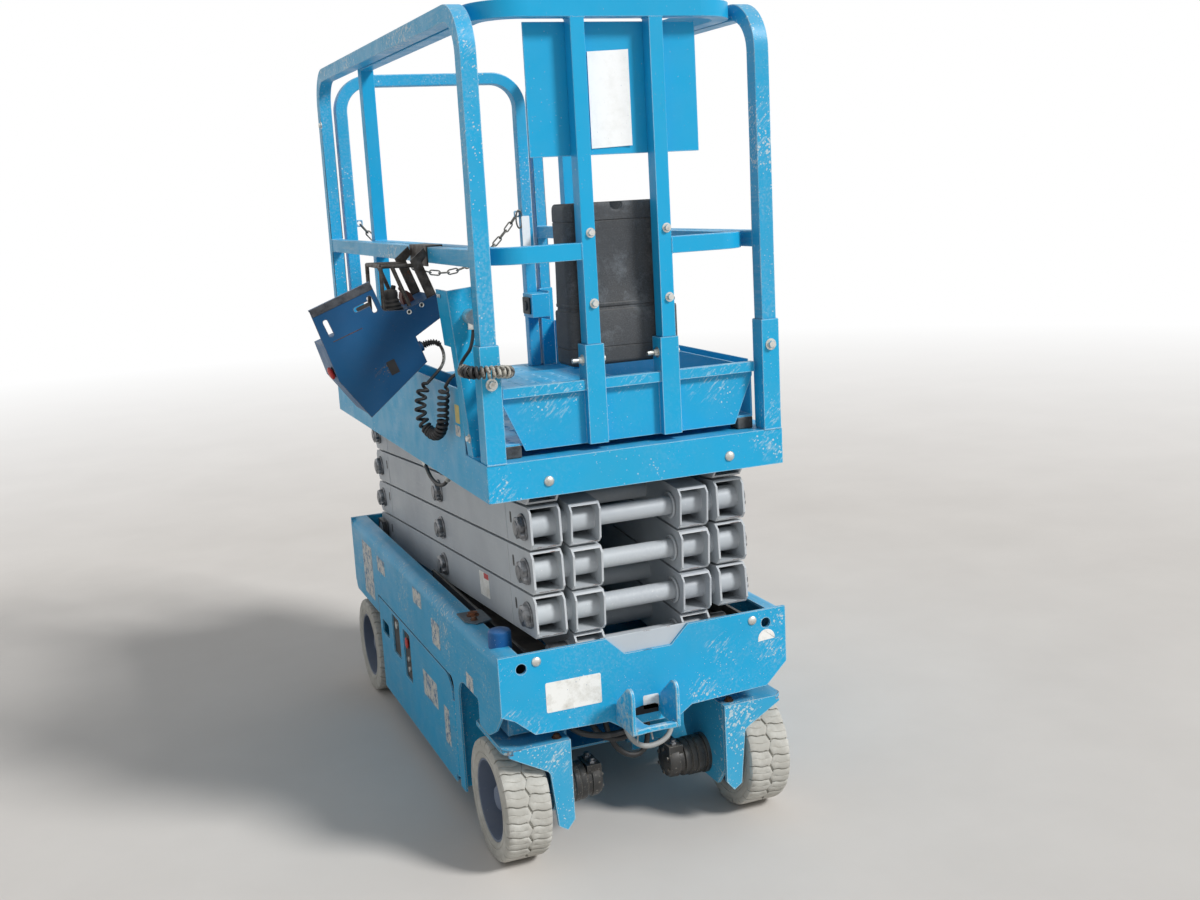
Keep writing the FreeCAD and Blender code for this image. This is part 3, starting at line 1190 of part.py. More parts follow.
def all_nodes():
    """Every node's name with its solid, or its list of solids."""
    nodes = {
        "chassis_frame": chassis_frame(),
        "kingpin_brackets": kingpin_brackets(),
        "front_tie_down": front_tie_down(),
        "notch_plate": notch_plate(),
        "stack_tracks": stack_tracks(),
        "rear_spindles": rear_spindle(),
        "tray_hinges": tray_hinge(),
        "entry_ladder": ladder(),
        "tie_rod": tie_rod(),
        "battery_pack": battery_pack(),
        "hydraulic_unit": hydraulic_unit(),
        "base_rollers": rollers(1),
        "top_rollers": rollers(STAGES),
        "lift_barrel": lift_barrel(),
        "lift_rod": lift_rod(),
        "platform_deck": platform_deck(),
        "rail_sockets": rail_sockets(),
        "rear_rail": rear_rail(),
        "entry_chain": entry_chain(),
        "extension_deck": extension_deck(),
        "slide_blocks": slide_blocks(),
        "extension_rails": extension_rails(),
        "upper_panel": upper_panel(),
        "document_box": document_box(),
        "outlet_box": outlet_box(),
        "controller_bracket": controller_bracket(),
        "control_box": control_box(),
        "control_guard": control_guard(),
        "joystick": joystick(),
        "stop_button": stop_button(),
        "cord_connector": cord_connector(),
        "control_cord": control_cord(),
    }
    for side, name in ((-1, "left"), (1, "right")):
        nodes["tray_" + name] = tray(side)
        nodes["yoke_" + name] = yoke(side)
        nodes["drive_motor_" + name] = drive_motor(side)
        nodes["side_rail_" + name] = side_rail(side)
        for front, end in ((True, "front"), (False, "rear")):
            nodes["tyre_{}_{}".format(end, name)] = tyre(side, front)
            nodes["rim_{}_{}".format(end, name)] = rim(side, front)
    for stage in range(1, STAGES + 1):
        nodes["outer_arm_{}".format(stage)] = outer_arm(stage)
        nodes["inner_arm_{}".format(stage)] = inner_arm(stage)
        nodes["pivot_nuts_{}".format(stage)] = pivot_nuts(stage)
    return nodes


CORD_NODES = ("control_cord",)


def origin_shift(nodes):
    """Vector that puts the middle of the whole outline over the origin, the wheels on z = 0."""
    bounds = FreeCAD.BoundBox()
    for name, shape in nodes.items():
        if name not in CORD_NODES:
            bounds.add(shape.optimalBoundingBox())
    return V(-bounds.Center.x, -bounds.Center.y, -bounds.ZMin)


def compounds():
    """Every node as one shape, before the shift to the origin."""
    nodes = {}
    for name, shape in all_nodes().items():
        nodes[name] = Part.makeCompound(shape) if isinstance(shape, list) else shape
    return nodes


def main():
    os.makedirs("parts", exist_ok=True)
    nodes = compounds()
    shift = origin_shift(nodes)
    for name, shape in nodes.items():
        shape.translate(shift)
        shape.exportStep("parts/{}.step".format(name))
    print("origin shift", shift)


if __name__ == "__main__":
    main()
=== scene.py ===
"""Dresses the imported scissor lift: finishes, tyre treads, fasteners, plates, chain, box and cord.

Lengths are in metres. The pieces are drawn in the machine's own frame: x from the centreline,
y from the middle of the wheelbase towards the entry, z from the ground.
"""

import json
import logging
import math
import random
import sys
from dataclasses import dataclass
from enum import Enum
from typing import Callable, Iterable, Optional, Sequence

import bmesh
import bpy
from mathutils import Matrix, Vector

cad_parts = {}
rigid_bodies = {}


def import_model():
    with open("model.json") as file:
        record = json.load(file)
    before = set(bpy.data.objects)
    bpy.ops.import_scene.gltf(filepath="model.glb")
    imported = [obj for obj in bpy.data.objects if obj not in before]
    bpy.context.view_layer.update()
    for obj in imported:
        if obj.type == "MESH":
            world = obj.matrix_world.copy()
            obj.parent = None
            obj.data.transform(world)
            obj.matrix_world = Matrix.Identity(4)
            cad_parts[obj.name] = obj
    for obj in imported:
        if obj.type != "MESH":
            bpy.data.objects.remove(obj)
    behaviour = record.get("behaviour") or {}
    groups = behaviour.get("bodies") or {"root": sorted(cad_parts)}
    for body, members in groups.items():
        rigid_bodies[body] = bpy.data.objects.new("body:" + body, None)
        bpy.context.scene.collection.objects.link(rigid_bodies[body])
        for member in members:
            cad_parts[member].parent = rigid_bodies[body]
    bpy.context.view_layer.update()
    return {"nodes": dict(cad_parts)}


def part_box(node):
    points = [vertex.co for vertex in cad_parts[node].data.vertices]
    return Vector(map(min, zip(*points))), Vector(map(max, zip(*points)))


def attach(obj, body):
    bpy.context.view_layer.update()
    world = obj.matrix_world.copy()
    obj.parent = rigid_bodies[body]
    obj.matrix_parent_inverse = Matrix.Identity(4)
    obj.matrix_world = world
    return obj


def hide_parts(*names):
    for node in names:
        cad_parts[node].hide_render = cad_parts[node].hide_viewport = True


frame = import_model()
LOG = logging.getLogger("scissor_lift")

Colour = tuple[float, float, float]
Point = Sequence[float]


class Slot(str, Enum):
    """The record's material slots."""

    BLUE = "blue_paint"
    GREY = "grey_paint"
    WHEEL = "wheel_paint"
    MOTOR = "motor_black"
    ZINC = "zinc_steel"
    CHROME = "rod_chrome"
    STEEL = "worn_steel"
    TYRE = "pale_tyre"
    PLASTIC = "black_plastic"
    RED = "red_plastic"
    CORD = "cord_black"
    BATTERY = "battery_case"


class Axis(Enum):
    """The direction in which a drawn outline is given its thickness."""

    X = "x"
    Y = "y"
    Z = "z"

    def point(self, a: float, b: float, along: float) -> Vector:
        """The point (a, b) of an outline at a distance along this axis."""
        if self is Axis.X:
            return Vector((along, a, b))
        if self is Axis.Y:
            return Vector((a, along, b))
        return Vector((a, b, along))


def machine_origin() -> Vector:
    """The foot of the machine's centreline, midway between the axles, in the frame of the CAD."""
    plate_low, plate_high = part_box("notch_plate")
    front_low, front_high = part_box("tyre_front_left")
    rear_low, rear_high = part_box("tyre_rear_left")
    middle_y = (front_low.y + front_high.y + rear_low.y + rear_high.y) / 4
    return Vector(((plate_low.x + plate_high.x) / 2, middle_y, 0.0))


ORIGIN = machine_origin()
TO_FRAME = Matrix.Translation(ORIGIN)


def srgb(red: int, green: int, blue: int) -> Colour:
    """A colour given as it shows on a screen, 0 to 255, in linear light."""

    def linear(value: int) -> float:
        share = value / 255
        return share / 12.92 if share <= 0.04045 else ((share + 0.055) / 1.055) ** 2.4

    return linear(red), linear(green), linear(blue)


def rgba(colour: Colour) -> tuple[float, float, float, float]:
    """A colour with full alpha."""
    return (*colour, 1.0)


class Tree:
    """A node tree being built, with short ways to add the nodes that the finishes use."""

    def __init__(self, tree: bpy.types.NodeTree) -> None:
        """Takes the tree to add nodes to."""
        self.tree = tree

    def node(self, kind: str, inputs: Optional[dict] = None, **settings: object) -> bpy.types.Node:
        """Adds a node.

        Args:
            kind: The node's type without its ShaderNode prefix.
            inputs: Socket name or number to a value, or to the socket that feeds it.
            **settings: The node's own properties.

        Returns:
            The new node.
        """
        made = self.tree.nodes.new("ShaderNode" + kind)
        for key, value in settings.items():
            setattr(made, key, value)
        for key, value in (inputs or {}).items():
            if isinstance(value, bpy.types.NodeSocket):
                self.tree.links.new(value, made.inputs[key])
            else:
                made.inputs[key].default_value = value
        return made

    def math(self, operation: str, first: object, second: object = 0.0, clamp: bool = False
             ) -> bpy.types.NodeSocket:
        """The result of a Math node on one or two values or sockets."""
        return self.node("Math", {0: first, 1: second}, operation=operation, use_clamp=clamp).outputs[0]

    def mix(self, share: object, first: object, second: object) -> bpy.types.NodeSocket:
        """A colour between two, by a share from 0 to 1."""
        return self.node("Mix", {0: share, 6: first, 7: second}, data_type="RGBA").outputs[2]

    def remap(self, value: object, low: float, high: float, to_low: object = 0.0, to_high: object = 1.0
              ) -> bpy.types.NodeSocket:
        """A value brought from one range to another and held inside it."""
        return self.node("MapRange", {"Value": value, "From Min": low, "From Max": high,
                                      "To Min": to_low, "To Max": to_high}).outputs["Result"]

    def noise(self, vector: object, scale: float, detail: float = 3.0, roughness: float = 0.55
              ) -> bpy.types.NodeSocket:
        """The height of a noise texture."""
        return self.node("TexNoise", {"Vector": vector, "Scale": scale, "Detail": detail,
                                      "Roughness": roughness}).outputs[0]

    def turned(self, vector: object, angles: Point, scale: Point) -> bpy.types.NodeSocket:
        """Coordinates turned about the origin and then scaled along their axes."""
        spun = self.node("VectorRotate", {"Vector": vector, "Rotation": angles}, rotation_type="EULER_XYZ")
        return self.node("VectorMath", {0: spun.outputs[0], 1: scale}, operation="MULTIPLY").outputs[0]

    def group(self, effect: bpy.types.NodeTree, inputs: dict) -> bpy.types.Node:
        """Places a shared effect with its own values."""
        made = self.node("Group")
        made.node_tree = effect
        for key, value in inputs.items():
            if isinstance(value, bpy.types.NodeSocket):
                self.tree.links.new(value, made.inputs[key])
            else:
                made.inputs[key].default_value = value
        return made


def effect(name: str, inputs: dict[str, object], output: str,
           draw: Callable[[Tree, dict[str, bpy.types.NodeSocket]], bpy.types.NodeSocket]) -> bpy.types.NodeTree:
    """Builds a shader effect once, as a node group with one output.

    Args:
        name: The group's name.
        inputs: Socket name to its usual value, a number or three numbers.
        output: Name of the mask that comes out.
        draw: Adds the nodes, given the tree and the input sockets, and returns the result.

    Returns:
        The group, made now or found from before.
    """
    found = bpy.data.node_groups.get(name)
    if found:
        return found
    made = bpy.data.node_groups.new(name, "ShaderNodeTree")
    for label, value in inputs.items():
        kind = "NodeSocketFloat" if isinstance(value, float) else "NodeSocketVector"
        made.interface.new_socket(name=label, in_out="INPUT", socket_type=kind).default_value = value
    made.interface.new_socket(name=output, in_out="OUTPUT", socket_type="NodeSocketFloat")
    entry = made.nodes.new("NodeGroupInput")
    result = draw(Tree(made), {label: entry.outputs[label] for label in inputs})
    leave = made.nodes.new("NodeGroupOutput")
    made.links.new(result, leave.inputs[output])
    return made


class Effects:
    """The effects that several finishes share."""

    @staticmethod
    def nicks() -> bpy.types.NodeTree:
        """Short pale dashes where something has knocked the paint, in three directions and in clusters."""

        def draw(tree: Tree, given: dict[str, bpy.types.NodeSocket]) -> bpy.types.NodeSocket:
            wobble = tree.node("TexNoise", {"Vector": given["Vector"], "Scale": 90.0, "Detail": 2.0})
            shift = tree.node("VectorMath", {0: wobble.outputs[1], 1: (0.004, 0.004, 0.004)},
                              operation="MULTIPLY").outputs[0]
            bent = tree.node("VectorMath", {0: given["Vector"], 1: shift}, operation="ADD").outputs[0]
            cluster = tree.remap(tree.noise(given["Vector"], 5.0, 2.0), 0.42, 0.62, 0.35, 1.0)
            reach = tree.math("MULTIPLY", cluster, given["Amount"])
            marks = None
            for angles, scale in (((0.5, 0.3, 0.9), (30.0, 170.0, 170.0)), ((0.2, 1.2, -0.5), (170.0, 34.0, 150.0)),
                                  ((1.1, -0.4, 0.2), (140.0, 160.0, 26.0)), ((0.1, 0.7, 0.4), (90.0, 210.0, 95.0))):
                cells = tree.node("TexVoronoi", {"Vector": tree.turned(bent, angles, scale), "Scale": 1.0})
                chance = tree.node("SeparateColor", {0: cells.outputs["Color"]}).outputs[0]
                size = tree.math("MULTIPLY", tree.math("POWER", chance, 4.0), reach)
                mark = tree.math("LESS_THAN", cells.outputs["Distance"], tree.math("MULTIPLY", size, 0.42))
                marks = mark if marks is None else tree.math("MAXIMUM", marks, mark)
            return marks

        return effect("nicks", {"Vector": (0.0, 0.0, 0.0), "Amount": 0.5}, "Mask", draw)

    @staticmethod
    def scuffs() -> bpy.types.NodeTree:
        """Hazy rubbed streaks that run along the machine."""

        def draw(tree: Tree, given: dict[str, bpy.types.NodeSocket]) -> bpy.types.NodeSocket:
            fine = tree.noise(tree.turned(given["Vector"], (0.05, 0.0, 0.0), (150.0, 9.0, 150.0)), 1.0, 3.0)
            broad = tree.noise(given["Vector"], 4.5, 3.0, 0.7)
            both = tree.math("MULTIPLY", tree.remap(fine, 0.45, 0.75), tree.remap(broad, 0.42, 0.66))
            return tree.math("MULTIPLY", both, given["Amount"], clamp=True)

        return effect("scuffs", {"Vector": (0.0, 0.0, 0.0), "Amount": 0.5}, "Mask", draw)

    @staticmethod
    def edges() -> bpy.types.NodeTree:
        """Where sharp edges have lost their paint, broken up by noise."""

        def draw(tree: Tree, given: dict[str, bpy.types.NodeSocket]) -> bpy.types.NodeSocket:
            soft = tree.node("Bevel", {"Radius": given["Radius"]}, samples=4).outputs[0]
            plain = tree.node("NewGeometry").outputs["Normal"]
            same = tree.node("VectorMath", {0: soft, 1: plain}, operation="DOT_PRODUCT").outputs["Value"]
            bend = tree.remap(tree.math("SUBTRACT", 1.0, same), 0.0, 0.22)
            chips = tree.noise(given["Vector"], 60.0, 5.0, 0.7)
            patches = tree.noise(given["Vector"], 7.0, 2.0)
            level = tree.math("ADD", tree.math("MULTIPLY", chips, 0.8), tree.math("MULTIPLY", patches, 0.7))
            raised = tree.math("ADD", tree.math("MULTIPLY", bend, 0.75), tree.math("MULTIPLY", level, 0.75))
            gate = tree.math("SUBTRACT", 1.45, given["Amount"])
            return tree.math("MULTIPLY", tree.math("SUBTRACT", raised, gate), 9.0, clamp=True)

        return effect("worn_edges", {"Vector": (0.0, 0.0, 0.0), "Radius": 0.004, "Amount": 0.5}, "Mask", draw)

    @staticmethod
    def dust() -> bpy.types.NodeTree:
        """Dust that lies on faces turned upwards and thinly in patches elsewhere."""

        def draw(tree: Tree, given: dict[str, bpy.types.NodeSocket]) -> bpy.types.NodeSocket:
            up = tree.node("SeparateXYZ", {0: tree.node("TexCoord").outputs["Normal"]}).outputs[2]
            lying = tree.remap(up, 0.35, 0.95, 0.18, 1.0)
            patches = tree.remap(tree.noise(given["Vector"], 11.0, 6.0, 0.65), 0.34, 0.72)
            return tree.math("MULTIPLY", tree.math("MULTIPLY", lying, patches), given["Amount"], clamp=True)

        return effect("dust", {"Vector": (0.0, 0.0, 0.0), "Amount": 0.5}, "Mask", draw)

    @staticmethod
    def rust() -> bpy.types.NodeTree:
        """Rust in specks and blooms, more where the paint is already gone."""

        def draw(tree: Tree, given: dict[str, bpy.types.NodeSocket]) -> bpy.types.NodeSocket:
            bloom = tree.noise(given["Vector"], 9.0, 8.0, 0.7)
            speck = tree.noise(given["Vector"], 120.0, 3.0, 0.6)
            level = tree.math("ADD", tree.math("MULTIPLY", bloom, 0.75), tree.math("MULTIPLY", speck, 0.35))
            open_steel = tree.math("MULTIPLY", given["Bare"], 0.22)
            gate = tree.math("SUBTRACT", 0.92, tree.math("MULTIPLY", given["Amount"], 0.3))
            over = tree.math("SUBTRACT", tree.math("ADD", level, open_steel), gate)
            return tree.math("MULTIPLY", over, 14.0, clamp=True)

        return effect("rust", {"Vector": (0.0, 0.0, 0.0), "Bare": 0.0, "Amount": 0.5}, "Mask", draw)

    @staticmethod
    def spot() -> bpy.types.NodeTree:
        """A soft round patch about a point, with a ragged border."""

        def draw(tree: Tree, given: dict[str, bpy.types.NodeSocket]) -> bpy.types.NodeSocket:
            away = tree.node("VectorMath", {0: given["Vector"], 1: given["Centre"]}, operation="DISTANCE")
            ratio = tree.math("DIVIDE", away.outputs["Value"], given["Radius"])
            ragged = tree.math("ADD", ratio, tree.math("MULTIPLY", tree.noise(given["Vector"], 45.0, 4.0), 0.8))
            return tree.remap(ragged, 0.75, 1.25, 1.0, 0.0)

        return effect("spot", {"Vector": (0.0, 0.0, 0.0), "Centre": (0.0, 0.0, 0.0), "Radius": 0.05}, "Mask", draw)

    @staticmethod
    def grain() -> bpy.types.NodeTree:
        """The height of a fine pebbled surface."""

        def draw(tree: Tree, given: dict[str, bpy.types.NodeSocket]) -> bpy.types.NodeSocket:
            scaled = tree.node("VectorMath", {0: given["Vector"], "Scale": given["Scale"]}, operation="SCALE")
            coarse = tree.noise(scaled.outputs[0], 1.0, 4.0, 0.6)
            fine = tree.noise(scaled.outputs[0], 4.3, 2.0, 0.5)
            return tree.math("ADD", tree.math("MULTIPLY", coarse, 0.65), tree.math("MULTIPLY", fine, 0.35))

        return effect("grain", {"Vector": (0.0, 0.0, 0.0), "Scale": 200.0}, "Height", draw)


RUST_DARK = srgb(70, 42, 30)
RUST_LIGHT = srgb(142, 88, 58)
DUST = srgb(176, 168, 156)


@dataclass(frozen=True)
class Spot:
    """A place that has suffered more than the rest of its surface, in the machine's frame."""

    x: float
    y: float
    z: float
    radius: float


@dataclass(frozen=True)
class Paint:
    """Paint over steel, with the wear that it shows.

    colour and faded are the paint's own tones and bare is what shows where it is gone. The other
    values run from 0 to 1: nicks, scuffs, edges, rust and dust say how much of each there is.
    scraped and rusted are the spots where one of them is much stronger.
    """

    name: str
    colour: Colour
    faded: Colour
    bare: Colour = srgb(206, 214, 216)
    nicks: float = 0.5
    scuffs: float = 0.0
    edges: float = 0.5
    rust: float = 0.2
    dust: float = 0.3
    roughness: float = 0.36
    gloss: float = 0.28
    scraped: tuple[Spot, ...] = ()
    rusted: tuple[Spot, ...] = ()

    def material(self) -> bpy.types.Material:
        """The paint as a material."""
        made, tree, shader = new_material(self.name)
        where = tree.node("TexCoord").outputs["Object"]
        tone = tree.remap(tree.noise(where, 3.2, 4.0, 0.6), 0.36, 0.66)
        colour = tree.mix(tone, rgba(self.colour), rgba(self.faded))
        rust_spots = self.spots(tree, where, self.rusted)
        edge = tree.group(Effects.edges(), {"Vector": where, "Amount": self.edges}).outputs[0]
        nick_amount: object = self.nicks
        scrapes = self.spots(tree, where, self.scraped)
        if scrapes is not None:
            nick_amount = tree.math("ADD", self.nicks, tree.math("MULTIPLY", scrapes, 0.6))
        nick = tree.group(Effects.nicks(), {"Vector": where, "Amount": nick_amount}).outputs[0]
        gone = tree.math("MAXIMUM", edge, nick)
        if self.scuffs:
            rubbed = tree.group(Effects.scuffs(), {"Vector": where, "Amount": self.scuffs}).outputs[0]
            gone = tree.math("MAXIMUM", gone, rubbed)
        if scrapes is not None:
            torn = tree.remap(tree.noise(tree.turned(where, (0.0, 0.75, 0.0), (34.0, 120.0, 150.0)), 1.0, 6.0, 0.75),
                              0.53, 0.66)
            gone = tree.math("MAXIMUM", gone, tree.math("MULTIPLY", torn, scrapes))
        colour = tree.mix(tree.math("MULTIPLY", gone, 0.86), colour, rgba(self.bare))
        rust_amount: object = self.rust
        if rust_spots is not None:
            rust_amount = tree.math("ADD", self.rust, tree.math("MULTIPLY", rust_spots, 0.75))
        rust = tree.group(Effects.rust(), {"Vector": where, "Bare": edge, "Amount": rust_amount}).outputs[0]
        rust_tone = tree.mix(tree.remap(tree.noise(where, 70.0, 4.0), 0.38, 0.64), rgba(RUST_DARK), rgba(RUST_LIGHT))
        colour = tree.mix(rust, colour, rust_tone)
        dust = tree.group(Effects.dust(), {"Vector": where, "Amount": self.dust}).outputs[0]
        colour = tree.mix(tree.math("MULTIPLY", dust, 0.7), colour, rgba(DUST))
        tree.tree.links.new(colour, shader.inputs["Base Color"])
        shader.inputs["Specular IOR Level"].default_value = self.gloss
        dull = tree.math("ADD", tree.math("MULTIPLY", dust, 0.35), tree.math("MULTIPLY", rust, 0.4))
        polish = tree.remap(tree.noise(where, 18.0, 4.0), 0.3, 0.7, self.roughness - 0.06, self.roughness + 0.12)
        tree.tree.links.new(tree.math("ADD", polish, dull, clamp=True), shader.inputs["Roughness"])
        grain = tree.group(Effects.grain(), {"Vector": where, "Scale": 170.0}).outputs[0]
        height = tree.math("SUBTRACT", tree.math("MULTIPLY", grain, 0.35), tree.math("MULTIPLY", gone, 0.5))
        height = tree.math("ADD", height, tree.math("MULTIPLY", tree.math("MULTIPLY", rust, grain), 1.6))
        add_bump(tree, shader, height, 0.00035)
        return made

    @staticmethod
    def spots(tree: Tree, where: bpy.types.NodeSocket, places: Iterable[Spot]) -> Optional[bpy.types.NodeSocket]:
        """One mask that holds every spot, or None where there are no spots."""
        mask = None
        for spot in places:
            centre = TO_FRAME @ Vector((spot.x, spot.y, spot.z))
            one = tree.group(Effects.spot(), {"Vector": where, "Centre": centre, "Radius": spot.radius}).outputs[0]
            mask = one if mask is None else tree.math("MAXIMUM", mask, one)
        return mask


@dataclass(frozen=True)
class Metal:
    """Bare or plated steel. tarnish, from 0 to 1, is how far it has dulled, and rust how far it has rusted."""

    name: str
    colour: Colour
    dark: Colour
    roughness: float = 0.32
    tarnish: float = 0.4
    rust: float = 0.1
    grain_scale: float = 400.0

    def material(self) -> bpy.types.Material:
        """The metal as a material."""
        made, tree, shader = new_material(self.name)
        where = tree.node("TexCoord").outputs["Object"]
        tone = tree.remap(tree.noise(where, 55.0, 5.0, 0.65), 0.62 - 0.3 * self.tarnish, 0.78)
        colour = tree.mix(tone, rgba(self.colour), rgba(self.dark))
        rust = tree.group(Effects.rust(), {"Vector": where, "Bare": 0.6, "Amount": self.rust}).outputs[0]
        rust_tone = tree.mix(tree.remap(tree.noise(where, 90.0, 4.0), 0.38, 0.64), rgba(RUST_DARK), rgba(RUST_LIGHT))
        colour = tree.mix(rust, colour, rust_tone)
        tree.tree.links.new(colour, shader.inputs["Base Color"])
        tree.tree.links.new(tree.remap(rust, 0.0, 1.0, 0.9, 0.05), shader.inputs["Metallic"])
        rough = tree.math("ADD", tree.remap(tone, 0.0, 1.0, self.roughness, self.roughness + 0.22),
                          tree.math("MULTIPLY", rust, 0.35), clamp=True)
        tree.tree.links.new(rough, shader.inputs["Roughness"])
        grain = tree.group(Effects.grain(), {"Vector": where, "Scale": self.grain_scale}).outputs[0]
        add_bump(tree, shader, tree.math("ADD", tree.math("MULTIPLY", grain, 0.3), rust), 0.0002)
        return made


@dataclass(frozen=True)
class Moulded:
    """Moulded plastic or rubber, with a grain in its surface and dust or chalk in its hollows.

    worn, from 0 to 1, is how far raised parts have gone pale, speckle is how much of the grain
    is pale, and worn_at are the places where it has gone palest.
    """

    name: str
    colour: Colour
    pale: Colour
    roughness: float = 0.55
    grain_scale: float = 500.0
    grain_depth: float = 0.0003
    worn: float = 0.3
    dust: float = 0.4
    speckle: float = 0.0
    worn_at: tuple[Spot, ...] = ()

    def material(self) -> bpy.types.Material:
        """The plastic or rubber as a material."""
        made, tree, shader = new_material(self.name)
        where = tree.node("TexCoord").outputs["Object"]
        patches = tree.noise(where, 16.0, 6.0, 0.7)
        level = tree.remap(patches, 0.66 - 0.3 * self.worn, 0.86 - 0.2 * self.worn)
        spots = Paint.spots(tree, where, self.worn_at)
        if spots is not None:
            streak = tree.remap(tree.noise(where, 130.0, 4.0, 0.7), 0.36, 0.56)
            level = tree.math("MAXIMUM", level, tree.math("MULTIPLY", spots, streak))
        if self.speckle:
            grains = tree.remap(tree.noise(where, self.grain_scale * 1.6, 2.0), 0.5, 0.66, 0.0, self.speckle)
            level = tree.math("ADD", level, grains, clamp=True)
        colour = tree.mix(level, rgba(self.colour), rgba(self.pale))
        dust = tree.group(Effects.dust(), {"Vector": where, "Amount": self.dust}).outputs[0]
        colour = tree.mix(tree.math("MULTIPLY", dust, 0.75), colour, rgba(DUST))
        tree.tree.links.new(colour, shader.inputs["Base Color"])
        rough = tree.math("ADD", tree.remap(patches, 0.3, 0.7, self.roughness - 0.05, self.roughness + 0.1),
                          tree.math("MULTIPLY", dust, 0.3), clamp=True)
        tree.tree.links.new(rough, shader.inputs["Roughness"])
        grain = tree.group(Effects.grain(), {"Vector": where, "Scale": self.grain_scale}).outputs[0]
        add_bump(tree, shader, grain, self.grain_depth)
        return made


@dataclass(frozen=True)
class Sheet:
    """A stuck-on plate or paper: off-white, marked by the weather and torn where torn is above 0."""

    name: str
    colour: Colour = srgb(232, 232, 226)
    stained: Colour = srgb(186, 182, 170)
    under: Colour = srgb(46, 108, 150)
    torn: float = 0.0
    roughness: float = 0.5

    def material(self) -> bpy.types.Material:
        """The plate as a material."""
        made, tree, shader = new_material(self.name)
        where = tree.node("TexCoord").outputs["Object"]
        stain = tree.remap(tree.noise(where, 24.0, 6.0, 0.7), 0.46, 0.8)
        colour = tree.mix(stain, rgba(self.colour), rgba(self.stained))
        nick = tree.group(Effects.nicks(), {"Vector": where, "Amount": 0.35 + 0.5 * self.torn}).outputs[0]
        lost = tree.remap(tree.noise(where, 38.0, 7.0, 0.8), 0.78 - 0.32 * self.torn, 0.82 - 0.3 * self.torn)
        colour = tree.mix(tree.math("MULTIPLY", tree.math("MAXIMUM", nick, lost), 0.9), colour, rgba(self.under))
        tree.tree.links.new(colour, shader.inputs["Base Color"])
        tree.tree.links.new(tree.remap(stain, 0.0, 1.0, self.roughness, self.roughness + 0.25),
                            shader.inputs["Roughness"])
        creases = tree.noise(where, 60.0, 5.0, 0.7)
        add_bump(tree, shader, tree.math("SUBTRACT", creases, tree.math("MULTIPLY", lost, 0.8)), 0.0003)
        return made


def new_material(name: str) -> tuple[bpy.types.Material, Tree, bpy.types.Node]:
    """An empty material with a Principled shader in it, as (material, its tree, the shader)."""
    made = bpy.data.materials.new(name)
    made.use_nodes = True
    made.node_tree.nodes.clear()
    tree = Tree(made.node_tree)
    shader = tree.node("BsdfPrincipled")
    tree.node("OutputMaterial", {"Surface": shader.outputs[0]})
    return made, tree, shader


def add_bump(tree: Tree, shader: bpy.types.Node, height: bpy.types.NodeSocket, depth: float) -> None:
    """Feeds a shader's normal from a height, depth metres from its lowest to its highest."""
    bump = tree.node("Bump", {"Height": height, "Strength": 1.0, "Distance": depth})
    tree.tree.links.new(bump.outputs[0], shader.inputs["Normal"])


PAINT_BLUE = srgb(16, 166, 216)
PAINT_BLUE_FADED = srgb(34, 164, 208)
PAINT_BARE = srgb(196, 216, 222)
PLATFORM_BLUE = Paint(
    "platform_blue", PAINT_BLUE, PAINT_BLUE_FADED, PAINT_BARE, nicks=0.55, scuffs=0.12, edges=0.6, rust=0.14,
    dust=0.3,
    scraped=(Spot(0.33, -0.815, 0.985, 0.06), Spot(-0.35, -0.815, 0.945, 0.06), Spot(0.35, -0.815, 1.05, 0.07),
             Spot(0.37, -0.8, 0.95, 0.05)),
    rusted=(Spot(-0.372, -0.812, 0.938, 0.02), Spot(-0.292, -0.815, 1.0, 0.012)))
RAIL_BLUE = Paint(
    "rail_blue", PAINT_BLUE, srgb(44, 160, 204), srgb(190, 208, 216), nicks=0.8, scuffs=0.45, edges=0.66,
    rust=0.14, dust=0.45,
    scraped=(Spot(-0.35, -0.30, 2.01, 0.42), Spot(-0.35, 0.4, 2.01, 0.42), Spot(0.352, -0.80, 1.72, 0.14),
             Spot(-0.352, -0.80, 1.95, 0.10), Spot(-0.352, -0.1, 1.49, 0.2)))
TOP_RAIL_BLUE = Paint("top_rail_blue", PAINT_BLUE, srgb(24, 162, 210), PAINT_BARE, nicks=0.3, edges=0.42,
                      rust=0.1, dust=0.25)
EXTENSION_BLUE = Paint(
    "extension_blue", PAINT_BLUE, srgb(28, 162, 208), srgb(186, 214, 224), nicks=0.42, scuffs=0.1, edges=0.6,
    rust=0.14, dust=0.3,
    scraped=(Spot(-0.2, -0.79, 1.176, 0.12), Spot(0.22, -0.79, 1.176, 0.12), Spot(0.0, -0.79, 1.176, 0.07)))
CHASSIS_BLUE = Paint(
    "chassis_blue", PAINT_BLUE, srgb(32, 160, 206), srgb(188, 206, 212), nicks=0.72, scuffs=0.3, edges=0.7,
    rust=0.22, dust=0.35,
    scraped=(Spot(0.19, -0.80, 0.49, 0.055), Spot(0.335, -0.80, 0.45, 0.06), Spot(0.36, -0.80, 0.53, 0.03),
             Spot(-0.345, -0.80, 0.41, 0.04), Spot(-0.29, -0.80, 0.375, 0.045), Spot(-0.36, -0.80, 0.52, 0.03),
             Spot(0.14, -0.80, 0.38, 0.06), Spot(-0.378, 0.1, 0.47, 0.16), Spot(-0.378, -0.3, 0.5, 0.14),
             Spot(-0.378, -0.7, 0.45, 0.1)),
    rusted=(Spot(-0.376, -0.80, 0.385, 0.026), Spot(-0.375, -0.79, 0.55, 0.016), Spot(0.0, -0.796, 0.513, 0.022)))
